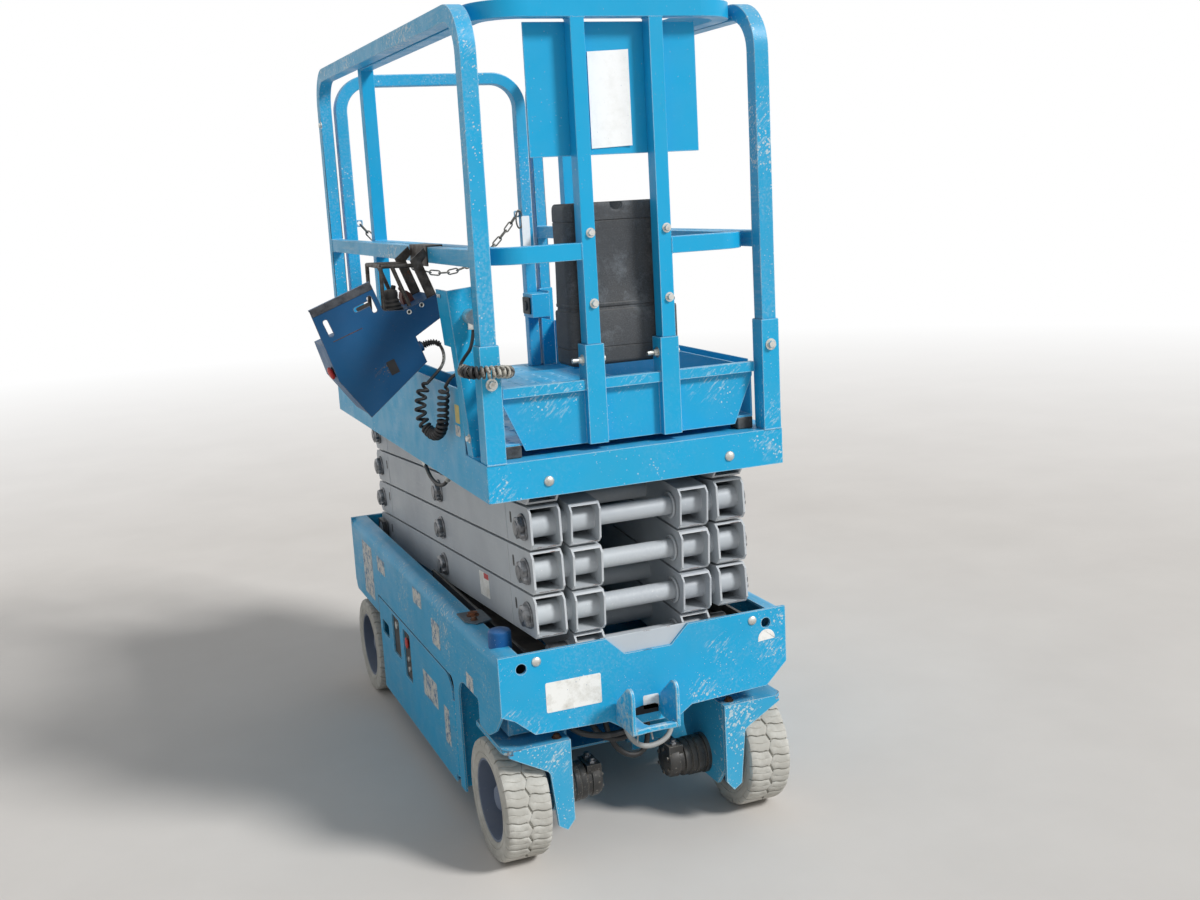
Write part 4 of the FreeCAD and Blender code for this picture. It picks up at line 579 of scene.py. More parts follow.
YOKE_BLUE = Paint(
    "yoke_blue", srgb(30, 160, 206), srgb(60, 164, 204), srgb(190, 208, 212), nicks=1.0, scuffs=0.3, edges=0.78,
    rust=0.3, dust=0.4,
    scraped=(Spot(-0.25, -0.786, 0.29, 0.08), Spot(0.25, -0.786, 0.29, 0.08), Spot(0.21, -0.75, 0.12, 0.05)),
    rusted=(Spot(-0.352, -0.775, 0.318, 0.05), Spot(0.362, -0.772, 0.318, 0.035), Spot(-0.21, -0.76, 0.06, 0.04),
            Spot(0.21, -0.76, 0.06, 0.03)))
ARM_GREY = Paint(
    "arm_grey", srgb(190, 196, 200), srgb(172, 178, 184), bare=srgb(214, 216, 216), nicks=0.42, scuffs=0.3,
    edges=0.5, rust=0.2, dust=0.25, roughness=0.42,
    rusted=tuple(Spot(x, -0.79, 0.48 + 0.1065 * level, 0.022)
                 for level in (1, 2, 3) for x in (-0.225, -0.25, -0.12, 0.14, 0.25)))
PLATE_GREY = Paint("plate_grey", srgb(192, 200, 206), srgb(182, 190, 197), nicks=0.4, edges=0.6, rust=0.3,
                   rusted=(Spot(0.0, -0.79, 0.563, 0.016), Spot(0.06, -0.79, 0.563, 0.01)))
RIM_GREY = Paint("rim_grey", srgb(112, 124, 144), srgb(98, 110, 130), bare=srgb(178, 184, 190), nicks=0.3,
                 edges=0.45, rust=0.12, dust=0.35, roughness=0.4)
MOTOR_BLACK = Paint("motor_black", srgb(24, 25, 27), srgb(36, 36, 36), bare=srgb(120, 116, 108), nicks=0.8,
                    edges=0.6, rust=0.16, dust=0.6, roughness=0.34, gloss=0.6)
TRACK_DARK = Paint("track_dark", srgb(52, 56, 62), srgb(64, 66, 68), bare=srgb(140, 140, 138), nicks=0.3,
                   edges=0.4, rust=0.4, dust=0.6, roughness=0.5)
PLATE_WORN = Paint("worn_plate", srgb(40, 74, 96), srgb(70, 84, 92), bare=srgb(150, 156, 158), nicks=0.7,
                   edges=0.6, rust=0.4, dust=0.5, roughness=0.5)
# Darker blue for the corner cylinder: painted shade, as it sits under the platform.
PAINTED_SHADE_BLUE = Paint("painted_shade_blue", srgb(10, 88, 150), srgb(16, 96, 154), PAINT_BARE, nicks=0.3, scuffs=0.1,
                    edges=0.3, rust=0.1, dust=0.2)
EAR_BLUE = Paint("ear_blue", PAINT_BLUE, srgb(30, 162, 208), srgb(190, 206, 208), nicks=0.7, scuffs=0.3,
                 edges=0.9, rust=0.34, dust=0.3)
# Darker blue for the control box: painted shade over the plate; its scraped spot and rust are real wear.
CONTROL_SHADE_BLUE = Paint("control_painted_shade_blue", srgb(10, 78, 124), srgb(16, 88, 134), srgb(104, 100, 98), nicks=0.42,
                     edges=0.62, rust=0.2, dust=0.2, roughness=0.4, scraped=(Spot(-0.50, -0.43, 1.20, 0.035),))
GUARD_STEEL = Metal("guard_steel", srgb(96, 92, 88), srgb(44, 38, 34), roughness=0.46, tarnish=1.0, rust=0.42)
HEM_STEEL = Metal("hem_steel", srgb(92, 94, 98), srgb(50, 52, 58), roughness=0.5, tarnish=0.9, rust=0.42)
ZINC = Metal("zinc", srgb(214, 215, 210), srgb(146, 144, 136), roughness=0.36, tarnish=0.5, rust=0.08)
NUT_STEEL = Metal("nut_steel", srgb(142, 144, 147), srgb(70, 70, 72), roughness=0.38, tarnish=0.75, rust=0.24)
RUSTY_STEEL = Metal("rusty_steel", srgb(112, 96, 86), srgb(78, 56, 42), roughness=0.6, tarnish=1.0, rust=0.85)
CHAIN_STEEL = Metal("chain_steel", srgb(128, 126, 120), srgb(72, 68, 62), roughness=0.42, tarnish=0.8, rust=0.3)
CHROME = Metal("chrome", srgb(224, 226, 228), srgb(190, 190, 188), roughness=0.12, tarnish=0.1, rust=0.0)
TYRE = Moulded("tyre_rubber", srgb(176, 174, 166), srgb(204, 203, 196), roughness=0.82, grain_scale=260.0,
               grain_depth=0.0006, worn=0.7, dust=0.25)
BOX_PLASTIC = Moulded("box_plastic", srgb(50, 53, 57), srgb(100, 105, 110), roughness=0.6, grain_scale=420.0,
                      grain_depth=0.0007, worn=0.45, dust=0.4, speckle=0.55)
BLACK_PLASTIC = Moulded("black_plastic", srgb(44, 46, 49), srgb(84, 88, 92), roughness=0.62, grain_scale=520.0,
                        grain_depth=0.0005, worn=0.45, dust=0.55)
JOYSTICK_BLACK = Moulded("joystick_black", srgb(22, 22, 24), srgb(56, 56, 58), roughness=0.6, worn=0.3, dust=0.4)
PAD_BLACK = Moulded("pad_black", srgb(34, 35, 37), srgb(96, 98, 98), roughness=0.75, grain_scale=180.0,
                    grain_depth=0.0012, worn=0.6, dust=0.8)
HOSE_BLACK = Moulded("hose_black", srgb(28, 29, 31), srgb(84, 86, 88), roughness=0.5, worn=0.2, dust=0.2)
HOSE_GREY = Moulded("hose_grey", srgb(150, 152, 150), srgb(178, 178, 172), roughness=0.55, worn=0.5, dust=0.4)
CORD_BLACK = Moulded(
    "cord_black", srgb(26, 26, 28), srgb(196, 192, 180), roughness=0.42, worn=0.12, dust=0.12,
    worn_at=(Spot(-0.340, -0.850, 1.228, 0.060), Spot(-0.405, -0.80, 1.228, 0.03), Spot(-0.358, -0.46, 1.215, 0.04)))
RED_PLASTIC = Moulded("red_plastic", srgb(186, 34, 30), srgb(202, 66, 56), roughness=0.42, worn=0.25, dust=0.35)
SWITCH_RED = Moulded("switch_red", srgb(96, 44, 34), srgb(128, 84, 66), roughness=0.55, worn=0.4, dust=0.4)
BATTERY_CASE = Moulded("battery_case", srgb(40, 40, 44), srgb(70, 70, 72), roughness=0.6, worn=0.3, dust=0.7)
# Near-black sheet that paints the shade inside the tie-down opening.
PAINTED_SHADE_DARK = Moulded("painted_shade_dark", srgb(20, 22, 26), srgb(30, 32, 36), roughness=0.85, worn=0.1, dust=0.0)
# Near-black finish for dark panels, also used as painted shade in holes.
DARK_PANEL_AND_HOLE_SHADE = Moulded("dark_panel_and_hole_shade", srgb(18, 18, 20), srgb(44, 44, 46), roughness=0.5, worn=0.2, dust=0.5)
WHITE_PLATE = Sheet("white_plate", colour=srgb(240, 240, 236))
PAPER = Sheet("paper", colour=srgb(252, 252, 250), stained=srgb(236, 236, 232), roughness=0.3)
# Greyed white for the torn labels on the left side: painted shade; the tears and stains are real.
TORN_LABEL_IN_PAINTED_SHADE = Sheet("torn_label_in_painted_shade", colour=srgb(208, 208, 202), torn=0.9)
YELLOW_LABEL = Sheet("yellow_label", colour=srgb(214, 196, 120), stained=srgb(190, 176, 130), torn=0.4)


class Finishes:
    """Each finish's material, built the first time that it is asked for."""

    def __init__(self) -> None:
        """Starts with no material built."""
        self.made: dict[str, bpy.types.Material] = {}

    def of(self, finish: Paint | Metal | Moulded | Sheet) -> bpy.types.Material:
        """The material of a finish."""
        if finish.name not in self.made:
            self.made[finish.name] = finish.material()
        return self.made[finish.name]


FINISHES = Finishes()
Finish = Paint | Metal | Moulded | Sheet
SMOOTH_BELOW = math.radians(38)


class Shape:
    """A mesh being drawn in the machine's frame, from solids that may pass into each other."""

    def __init__(self, place: Optional[Matrix] = None) -> None:
        """Starts an empty mesh; place is put before the way to the CAD's frame, and may be changed."""
        self.mesh = bmesh.new()
        self.place = place or Matrix.Identity(4)

    def vertex(self, point: Point) -> bmesh.types.BMVert:
        """Adds a vertex."""
        return self.mesh.verts.new(TO_FRAME @ self.place @ Vector(point))

    def prism(self, outline: Sequence[Point], axis: Axis, start: float, end: float) -> None:
        """A solid with a flat outline, from start to end along an axis."""
        near = [self.vertex(axis.point(a, b, start)) for a, b in outline]
        far = [self.vertex(axis.point(a, b, end)) for a, b in outline]
        self.mesh.faces.new(near[::-1])
        self.mesh.faces.new(far)
        for i in range(len(near)):
            j = (i + 1) % len(near)
            self.mesh.faces.new((near[i], near[j], far[j], far[i]))

    def block(self, low: Point, high: Point) -> None:
        """A block between opposite corners."""
        outline = [(low[0], low[1]), (high[0], low[1]), (high[0], high[1]), (low[0], high[1])]
        self.prism(outline, Axis.Z, low[2], high[2])

    def rings(self, rings: Sequence[Sequence[Vector]], closed: bool = False) -> None:
        """A skin over rings of points, with a face over each end unless the rings close on themselves."""
        loops = [[self.vertex(p) for p in ring] for ring in rings]
        count = len(loops[0])
        pairs = list(zip(loops, loops[1:])) + ([(loops[-1], loops[0])] if closed else [])
        for near, far in pairs:
            for i in range(count):
                j = (i + 1) % count
                self.mesh.faces.new((near[i], near[j], far[j], far[i]))
        if not closed:
            self.mesh.faces.new(loops[0][::-1])
            self.mesh.faces.new(loops[-1])

    def turned(self, profile: Sequence[Point], start: Point, along: Point, sides: int = 28) -> None:
        """A solid of revolution.

        Args:
            profile: (distance along the axis, radius) from one end to the other.
            start: Where the axis starts.
            along: The axis, as a direction.
            sides: Number of faces round it.
        """
        axis = Vector(along).normalized()
        across = axis.orthogonal().normalized()
        other = axis.cross(across)
        rings = []
        for reach, radius in profile:
            middle = Vector(start) + axis * reach
            rings.append([middle + across * (radius * math.cos(2 * math.pi * k / sides))
                          + other * (radius * math.sin(2 * math.pi * k / sides)) for k in range(sides)])
        self.rings(rings)

    def rod(self, start: Point, end: Point, radius: float, sides: int = 20) -> None:
        """A round bar with slightly broken ends."""
        along = Vector(end) - Vector(start)
        chamfer = min(radius * 0.15, along.length * 0.2)
        self.turned([(0.0, radius - chamfer), (chamfer, radius), (along.length - chamfer, radius),
                     (along.length, radius - chamfer)], start, along, sides)

    def tube(self, path: Sequence[Vector], radius: float, sides: int = 10, closed: bool = False) -> None:
        """A round bar along a path that may bend and twist."""
        rings = []
        for point, across, other in carried_frames(path, closed):
            rings.append([point + (across * math.cos(2 * math.pi * k / sides)
                                   + other * math.sin(2 * math.pi * k / sides)) * radius for k in range(sides)])
        self.rings(rings, closed)

    def hexagon(self, start: Point, along: Point, flats: float, thickness: float) -> None:
        """A hexagonal head or nut with its outer corners turned off."""
        corner = flats / math.sqrt(3)
        crown = flats / 2 * 0.94
        axis = Vector(along).normalized()
        across = axis.orthogonal().normalized()
        other = axis.cross(across)
        rings = []
        for reach, share in ((0.0, 1.0), (thickness * 0.8, 1.0), (thickness, crown / corner)):
            middle = Vector(start) + axis * reach
            ring = []
            for k in range(24):
                angle = 2 * math.pi * k / 24
                flat = math.cos(math.pi / 6) / math.cos((angle % (math.pi / 3)) - math.pi / 6)
                radius = corner * flat if share == 1.0 else min(crown, corner * flat)
                ring.append(middle + (across * math.cos(angle) + other * math.sin(angle)) * radius)
            rings.append(ring)
        self.rings(rings)

    def dome_head(self, start: Point, along: Point, radius: float, height: float) -> None:
        """A round carriage-bolt head on a thin washer lip."""
        steps = [(0.0, radius), (height * 0.22, radius)]
        steps += [(height * (0.22 + 0.78 * math.sin(a)), radius * math.cos(a) * 0.98)
                  for a in (0.25, 0.6, 0.95, 1.25, 1.5)]
        self.turned(steps, start, along, 22)

    def bolt(self, start: Point, along: Point, flats: float) -> None:
        """A hexagon head on a washer, sized by the width across its flats."""
        axis = Vector(along).normalized()
        washer = flats * 0.12
        self.turned([(0.0, flats * 0.82), (washer, flats * 0.82)], start, along, 22)
        self.hexagon(Vector(start) + axis * washer, along, flats, flats * 0.55)

    def bead(self, points: Sequence[Point], radius: float) -> None:
        """A rippled weld bead along a run of points."""
        path = []
        for a, b in zip(points, points[1:]):
            start, end = Vector(a), Vector(b)
            steps = max(2, int((end - start).length / (radius * 0.9)))
            path += [start.lerp(end, i / steps) for i in range(steps)]
        path.append(Vector(points[-1]))
        rings = []
        for i, (point, across, other) in enumerate(carried_frames(path, False)):
            size = radius * (0.55 if i in (0, len(path) - 1) else 1.0 if i % 2 else 0.84)
            rings.append([point + (across * math.cos(math.pi * k / 3) + other * math.sin(math.pi * k / 3)) * size
                          for k in range(6)])
        self.rings(rings)

    def piece(self, name: str, body: str, finish: Finish, edge: float = 0.0) -> bpy.types.Object:
        """Ends the drawing and makes it a piece that rides on a body.

        Args:
            name: The piece's name.
            body: The CAD body that it moves with.
            finish: Its finish.
            edge: Width of the rounding of its sharp edges, or 0 for none.

        Returns:
            The piece.
        """
        bmesh.ops.recalc_face_normals(self.mesh, faces=self.mesh.faces)
        data = bpy.data.meshes.new(name)
        self.mesh.to_mesh(data)
        self.mesh.free()
        data.shade_smooth()
        data.set_sharp_from_angle(angle=SMOOTH_BELOW)
        made = bpy.data.objects.new(name, data)
        bpy.context.scene.collection.objects.link(made)
        data.materials.append(FINISHES.of(finish))
        if edge:
            round_edges(made, edge)
        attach(made, body)
        return made


def carried_frames(path: Sequence[Vector], closed: bool) -> list[tuple[Vector, Vector, Vector]]:
    """Each point of a path with two directions square to it that turn no more than the path does."""
    count = len(path)
    result = []
    across: Optional[Vector] = None
    for i, point in enumerate(path):
        before = path[i - 1] if i or closed else point
        after = path[(i + 1) % count] if i + 1 < count or closed else point
        along = (after - before).normalized()
        across = along.orthogonal() if across is None else across - along * across.dot(along)
        across.normalize()
        result.append((point, across.copy(), along.cross(across)))
    return result


def round_edges(target: bpy.types.Object, width: float, weld: bool = False) -> None:
    """Rounds an object's sharp edges with modifiers and evens out its shading."""
    if weld:
        target.modifiers.new("joined", "WELD").merge_threshold = 0.00002
    rounding = target.modifiers.new("rounded", "BEVEL")
    rounding.width = width
    rounding.segments = 2
    rounding.limit_method = "ANGLE"
    rounding.angle_limit = math.radians(32)
    rounding.use_clamp_overlap = True
    shading = target.modifiers.new("shading", "WEIGHTED_NORMAL")
    shading.keep_sharp = True


def dress(node: str, finish: Finish, edge: float = 0.0016) -> None:
    """Gives a CAD node its finish and softens its edges."""
    target = frame["nodes"][node]
    if not target.material_slots:
        target.data.materials.append(None)
    for slot in target.material_slots:
        slot.material = FINISHES.of(finish)
    if edge:
        round_edges(target, edge, weld=True)


def arc(centre: Point, radius: float, start: float, end: float, steps: int) -> list[tuple[float, float]]:
    """Points of an arc about a centre, with its angles in degrees."""
    angles = [math.radians(start + (end - start) * i / steps) for i in range(steps + 1)]
    return [(centre[0] + radius * math.cos(a), centre[1] + radius * math.sin(a)) for a in angles]


def rounded_box(a0: float, a1: float, b0: float, b1: float, radius: float, steps: int = 4
                ) -> list[tuple[float, float]]:
    """The outline of a rectangle with rounded corners."""
    outline = []
    for centre, turn in (((a1 - radius, b0 + radius), -90), ((a1 - radius, b1 - radius), 0),
                         ((a0 + radius, b1 - radius), 90), ((a0 + radius, b0 + radius), 180)):
        outline += arc(centre, radius, turn, turn + 90, steps)
    return outline


@dataclass(frozen=True)
class Viewpoint:
    """The camera at the photograph's place, in the machine's frame, with angles in radians."""

    place: tuple[float, float, float] = (-1.21647, -3.59912, 1.60834)
    yaw: float = 0.38062
    pitch: float = 0.19404
    roll: float = 0.05413
    lens_mm: float = 40.047

    def build(self) -> None:
        """Makes the camera and gives it to the scene."""
        ahead = Vector((math.sin(self.yaw) * math.cos(self.pitch), math.cos(self.yaw) * math.cos(self.pitch),
                        -math.sin(self.pitch)))
        right = Vector((math.cos(self.yaw), -math.sin(self.yaw), 0.0))
        down = ahead.cross(right)
        c, s = math.cos(self.roll), math.sin(self.roll)
        turned_right, turned_down = right * c + down * s, down * c - right * s
        basis = Matrix((turned_right, -turned_down, -ahead)).transposed()
        data = bpy.data.cameras.new("viewpoint")
        data.lens = self.lens_mm
        data.sensor_width = 36.0
        camera = bpy.data.objects.new("viewpoint", data)
        bpy.context.scene.collection.objects.link(camera)
        camera.matrix_world = Matrix.Translation(TO_FRAME @ Vector(self.place)) @ basis.to_4x4()
        bpy.context.scene.camera = camera


@dataclass(frozen=True)
class Studio:
    """A pale floor, a white surround and soft lamps at a plain level."""

    floor_radius: float = 40.0
    near_floor: Colour = srgb(210, 205, 199)
    fill: float = 0.44
    key_strength: float = 2.85
    key_angle: float = math.radians(13)

    def build(self) -> None:
        """Makes the floor, the surround and the lamps."""
        scene = bpy.context.scene
        scene.view_settings.view_transform = "Standard"
        self.floor()
        self.surround(scene)
        self.lamp("key", (0.75, -0.88, 0.95), self.key_strength, self.key_angle)

    def floor(self) -> None:
        """Makes the floor, which pales to white far from the machine."""
        mesh = bmesh.new()
        bmesh.ops.create_circle(mesh, cap_ends=True, segments=96, radius=self.floor_radius)
        data = bpy.data.meshes.new("floor")
        mesh.to_mesh(data)
        mesh.free()
        floor = bpy.data.objects.new("floor", data)
        bpy.context.scene.collection.objects.link(floor)
        made, tree, shader = new_material("floor")
        where = tree.node("TexCoord").outputs["Object"]
        away = tree.node("VectorMath", {0: where}, operation="LENGTH").outputs["Value"]
        mottle = tree.remap(tree.noise(where, 1.6, 6.0, 0.6), 0.3, 0.7)
        near = tree.mix(mottle, rgba(self.near_floor), rgba(srgb(203, 198, 192)))
        tree.tree.links.new(near, shader.inputs["Base Color"])
        shader.inputs["Roughness"].default_value = 0.9
        far = tree.remap(away, 3.0, 11.0)
        rays = tree.node("LightPath")
        seen = tree.math("MAXIMUM", rays.outputs["Is Camera Ray"], rays.outputs["Is Glossy Ray"])
        glow = tree.node("Emission", {"Color": (1.0, 1.0, 1.0, 1.0), "Strength": 1.0})
        blend = tree.node("MixShader", {0: tree.math("MULTIPLY", far, seen), 1: shader.outputs[0],
                                        2: glow.outputs[0]})
        out = next(n for n in made.node_tree.nodes if n.bl_idname == "ShaderNodeOutputMaterial")
        tree.tree.links.new(blend.outputs[0], out.inputs["Surface"])
        data.materials.append(made)

    def surround(self, scene: bpy.types.Scene) -> None:
        """White to the camera and in reflections, and a softer fill for the light itself."""
        world = bpy.data.worlds.new("surround")
        scene.world = world
        world.use_nodes = True
        world.node_tree.nodes.clear()
        tree = Tree(world.node_tree)
        rays = tree.node("LightPath")
        seen = tree.math("MAXIMUM", tree.math("MAXIMUM", rays.outputs["Is Camera Ray"],
                                              rays.outputs["Is Glossy Ray"]), rays.outputs["Is Transmission Ray"])
        light = tree.node("Background", {"Color": (0.93, 0.96, 1.0, 1.0), "Strength": self.fill})
        white = tree.node("Background", {"Color": (1.0, 1.0, 1.0, 1.0), "Strength": 1.0})
        blend = tree.node("MixShader", {0: seen, 1: light.outputs[0], 2: white.outputs[0]})
        tree.node("OutputWorld", {"Surface": blend.outputs[0]})

    @staticmethod
    def lamp(name: str, towards: Point, strength: float, angle: float) -> None:
        """A soft lamp that shines from a direction."""
        data = bpy.data.lights.new(name, "SUN")
        data.energy = strength
        data.angle = angle
        lamp = bpy.data.objects.new(name, data)
        bpy.context.scene.collection.objects.link(lamp)
        lamp.rotation_mode = "QUATERNION"
        lamp.rotation_quaternion = Vector(towards).to_track_quat("Z", "Y")


def spline_points(control: Sequence[Point]) -> list[Vector]:
    """Points read from the smooth NURBS line of a route, in the machine's frame."""
    data = bpy.data.curves.new("route", "CURVE")
    data.dimensions = "3D"
    data.resolution_u = 16
    spline = data.splines.new("NURBS")
    spline.points.add(len(control) - 1)
    for point, place in zip(spline.points, control):
        point.co = (*place, 1.0)
    spline.order_u = 3
    spline.use_endpoint_u = True
    holder = bpy.data.objects.new("route", data)
    bpy.context.scene.collection.objects.link(holder)
    line = bpy.data.meshes.new_from_object(holder)
    points = [v.co.copy() for v in line.vertices]
    bpy.data.objects.remove(holder)
    bpy.data.curves.remove(data)
    bpy.data.meshes.remove(line)
    return points


class Run:
    """A line of points that can be asked for the place at a distance along it."""

    def __init__(self, points: Sequence[Vector]) -> None:
        """Measures the points' distances from the first."""
        self.points = list(points)
        self.reach = [0.0]
        for a, b in zip(self.points, self.points[1:]):
            self.reach.append(self.reach[-1] + (b - a).length)

    @property
    def length(self) -> float:
        """The line's whole length."""
        return self.reach[-1]

    def at(self, distance: float) -> Vector:
        """The point at a distance along the line."""
        distance = min(max(distance, 0.0), self.length)
        i = next((k for k in range(1, len(self.reach)) if self.reach[k] >= distance), len(self.reach) - 1)
        span = self.reach[i] - self.reach[i - 1]
        return self.points[i - 1].lerp(self.points[i], (distance - self.reach[i - 1]) / span if span else 0.0)

    def nearest(self, place: Vector) -> float:
        """The distance along the line of its point nearest to a place."""
        return min(zip(self.points, self.reach), key=lambda pair: (pair[0] - place).length)[1]


def between(stops: Sequence[tuple[float, float]], share: float) -> float:
    """The value at a share along straight lines between stops of (share, value)."""
    for (a, u), (b, v) in zip(stops, stops[1:]):
        if share <= b:
            return u + (v - u) * (share - a) / (b - a)
    return stops[-1][1]


@dataclass(frozen=True)
class CurlyCord:
    """The curly cord from the control box's gland round the front post to the channel's connector."""

    post_foot: tuple[float, float, float] = (-0.350, -0.7915, 1.0155)
    diameter: float = 0.008
    coil_radius: float = 0.0112
    per_turn: int = 20
    length: float = 3.79
    relief_length: float = 0.045
    relief_rings: int = 8
    route: tuple[tuple[float, float, float], ...] = (
        (-0.0446, 0.3795, 0.2362), (-0.0100, 0.3790, 0.2480), (0.0020, 0.3555, 0.2215),
        (-0.0085, 0.3245, 0.1925), (-0.0415, 0.3085, 0.1665), (-0.0730, 0.3045, 0.1410),
        (-0.0830, 0.3025, 0.0950), (-0.0795, 0.3000, 0.0640), (-0.0710, 0.2875, 0.0415),
        (-0.0610, 0.2625, 0.0310), (-0.0540, 0.2375, 0.0415), (-0.0500, 0.2220, 0.0665),
        (-0.0485, 0.2178, 0.0990), (-0.0470, 0.2098, 0.1380), (-0.0380, 0.1905, 0.1725),
        (-0.0160, 0.1625, 0.1925), (0.0080, 0.1345, 0.1970), (0.0290, 0.0985, 0.1980),
        (0.0415, 0.0535, 0.1990), (0.0425, 0.0035, 0.2010), (0.0370, -0.0445, 0.2080),
        (0.0030, -0.0600, 0.2125), (-0.0450, -0.0515, 0.2135), (-0.0610, -0.0145, 0.2155),
        (-0.0560, 0.0260, 0.2210), (-0.0360, 0.0530, 0.2360), (-0.0120, 0.0615, 0.2585),
        (-0.0070, 0.0635, 0.2965))
    coils: tuple[tuple[int, int, tuple[tuple[float, float], ...]], ...] = (
        (5, 13, ((0.0, 0.0210), (0.3, 0.0195), (0.42, 0.0100), (0.6, 0.0095), (0.72, 0.0140), (1.0, 0.0160))),
        (17, 23, ((0.0, 0.0115), (1.0, 0.0108))))

    def build(self) -> bpy.types.Object:
        foot = Vector(self.post_foot)
        control = [foot + Vector(p) for p in self.route]
        run = Run(spline_points(control))
        path = self.wound(run, control)
        shape = Shape()
        shape.tube(path, self.diameter / 2, 10)
        cord = shape.piece("curly_cord", "platform", CORD_BLACK)
        relief = self.relief(run)
        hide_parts("control_cord")
        LOG.info("cord length %.3f m", Run(path).length)
        return cord

    def wound(self, run: Run, control: Sequence[Vector]) -> list[Vector]:
        """The wire's own path: straight stretches of the route, and turns about its coiled stretches."""
        spans = []
        for first, last, pitches in self.coils:
            start = run.nearest((control[first - 1] + control[first]) / 2)
            end = run.nearest((control[last] + control[last + 1]) / 2)
            spans.append((start, end, pitches))
        step = 0.0005
        count = int(run.length / step)
        centres = [run.at(run.length * i / count) for i in range(count + 1)]
        path: list[Vector] = []
        phase, last_phase = 0.0, 0.0
        for i, (centre, across, other) in enumerate(carried_frames(centres, False)):
            distance = run.length * i / count
            inside = next((s for s in spans if s[0] <= distance <= s[1]), None)
            if inside is None:
                if not path or i == count or (centre - path[-1]).length > 0.0036:
                    path.append(centre)
                continue
            start, end, pitches = inside
            phase += 2 * math.pi * (run.length / count) / between(pitches, (distance - start) / (end - start))
            if phase - last_phase < 2 * math.pi / self.per_turn:
                continue
            last_phase = phase
            grown = min((distance - start) / 0.016, (end - distance) / 0.016, 1.0)
            radius = self.coil_radius * grown * grown * (3 - 2 * grown)
            path.append(centre + (across * math.cos(phase) + other * math.sin(phase)) * radius)
        kept = [path[0]]
        for point in path[1:]:
            if (point - kept[-1]).length > 0.0022:
                kept.append(point)
        return kept

    def relief(self, run: Run) -> bpy.types.Object:
        """The ringed, tapered relief at the gland."""
        shape = Shape()
        steps = self.relief_rings * 6
        centres = [run.at(self.relief_length * i / steps) for i in range(steps + 1)]
        rings = []
        for i, (point, across, other) in enumerate(carried_frames(centres, False)):
            taper = 0.0098 - 0.0030 * i / steps
            radius = taper if i % 6 < 3 else taper - 0.0030
            rings.append([point + (across * math.cos(2 * math.pi * k / 16)
                                   + other * math.sin(2 * math.pi * k / 16)) * radius for k in range(16)])
        shape.rings(rings)
        return shape.piece("cord_relief", "platform", JOYSTICK_BLACK)


@dataclass(frozen=True)
class Hose:
    """A short hose held at both ends. points is its route in the machine's frame."""

    name: str
    body: str
    points: tuple[tuple[float, float, float], ...]
    diameter: float
    length: float
    finish: Moulded = HOSE_BLACK

    def build(self) -> bpy.types.Object:
        run = Run(spline_points(self.points))
        path = [run.at(run.length * i / 60) for i in range(61)]
        shape = Shape()
        shape.tube(path, self.diameter / 2, 14)
        hose = shape.piece(self.name, self.body, self.finish)
        ends = Shape()
        for a, b in ((path[0], path[1]), (path[-1], path[-2])):
            ends.hexagon(a, b - a, self.diameter * 1.7, 0.012)
            ends.turned([(0.0, self.diameter * 0.72), (0.024, self.diameter * 0.72), (0.026, self.diameter * 0.6)],
                        a, b - a, 18)
        collars = ends.piece(self.name + "_ends", self.body, ZINC)
        LOG.info("%s length %.3f m", self.name, run.length)
        return hose


HOSES = (
    Hose("front_hose_grey", "chassis",
         ((-0.064, -0.772, 0.419), (-0.064, -0.776, 0.350), (-0.058, -0.784, 0.300), (-0.020, -0.790, 0.262),
          (0.046, -0.786, 0.270), (0.068, -0.776, 0.310), (0.062, -0.764, 0.360), (0.058, -0.756, 0.419)),
         0.013, 0.39, HOSE_GREY),
    Hose("front_hose_black", "chassis",
         ((-0.100, -0.716, 0.419), (-0.094, -0.720, 0.340), (-0.078, -0.722, 0.262), (-0.030, -0.724, 0.216),
          (0.018, -0.720, 0.222), (0.030, -0.706, 0.290), (0.034, -0.694, 0.350), (0.036, -0.690, 0.419)),
         0.014, 0.46, HOSE_BLACK),
    Hose("cross_hose_upper", "chassis",
         ((-0.212, -0.700, 0.419), (-0.208, -0.722, 0.362), (-0.180, -0.756, 0.322), (-0.110, -0.772, 0.306),
          (-0.034, -0.776, 0.312), (0.012, -0.764, 0.352), (0.020, -0.752, 0.419)), 0.015, 0.39, HOSE_BLACK),
    Hose("cross_hose_lower", "chassis",
         ((-0.130, -0.700, 0.419), (-0.130, -0.706, 0.350), (-0.118, -0.722, 0.300), (-0.080, -0.738, 0.276),
          (-0.020, -0.742, 0.284), (0.040, -0.730, 0.340), (0.050, -0.722, 0.419)), 0.015, 0.38, HOSE_BLACK),
    Hose("platform_hose", "platform",
         ((-0.358, -0.190, 0.928), (-0.358, -0.206, 0.908), (-0.360, -0.262, 0.884), (-0.360, -0.345, 0.880),
          (-0.358, -0.412, 0.902), (-0.357, -0.430, 0.928)), 0.010, 0.27, HOSE_BLACK),
)


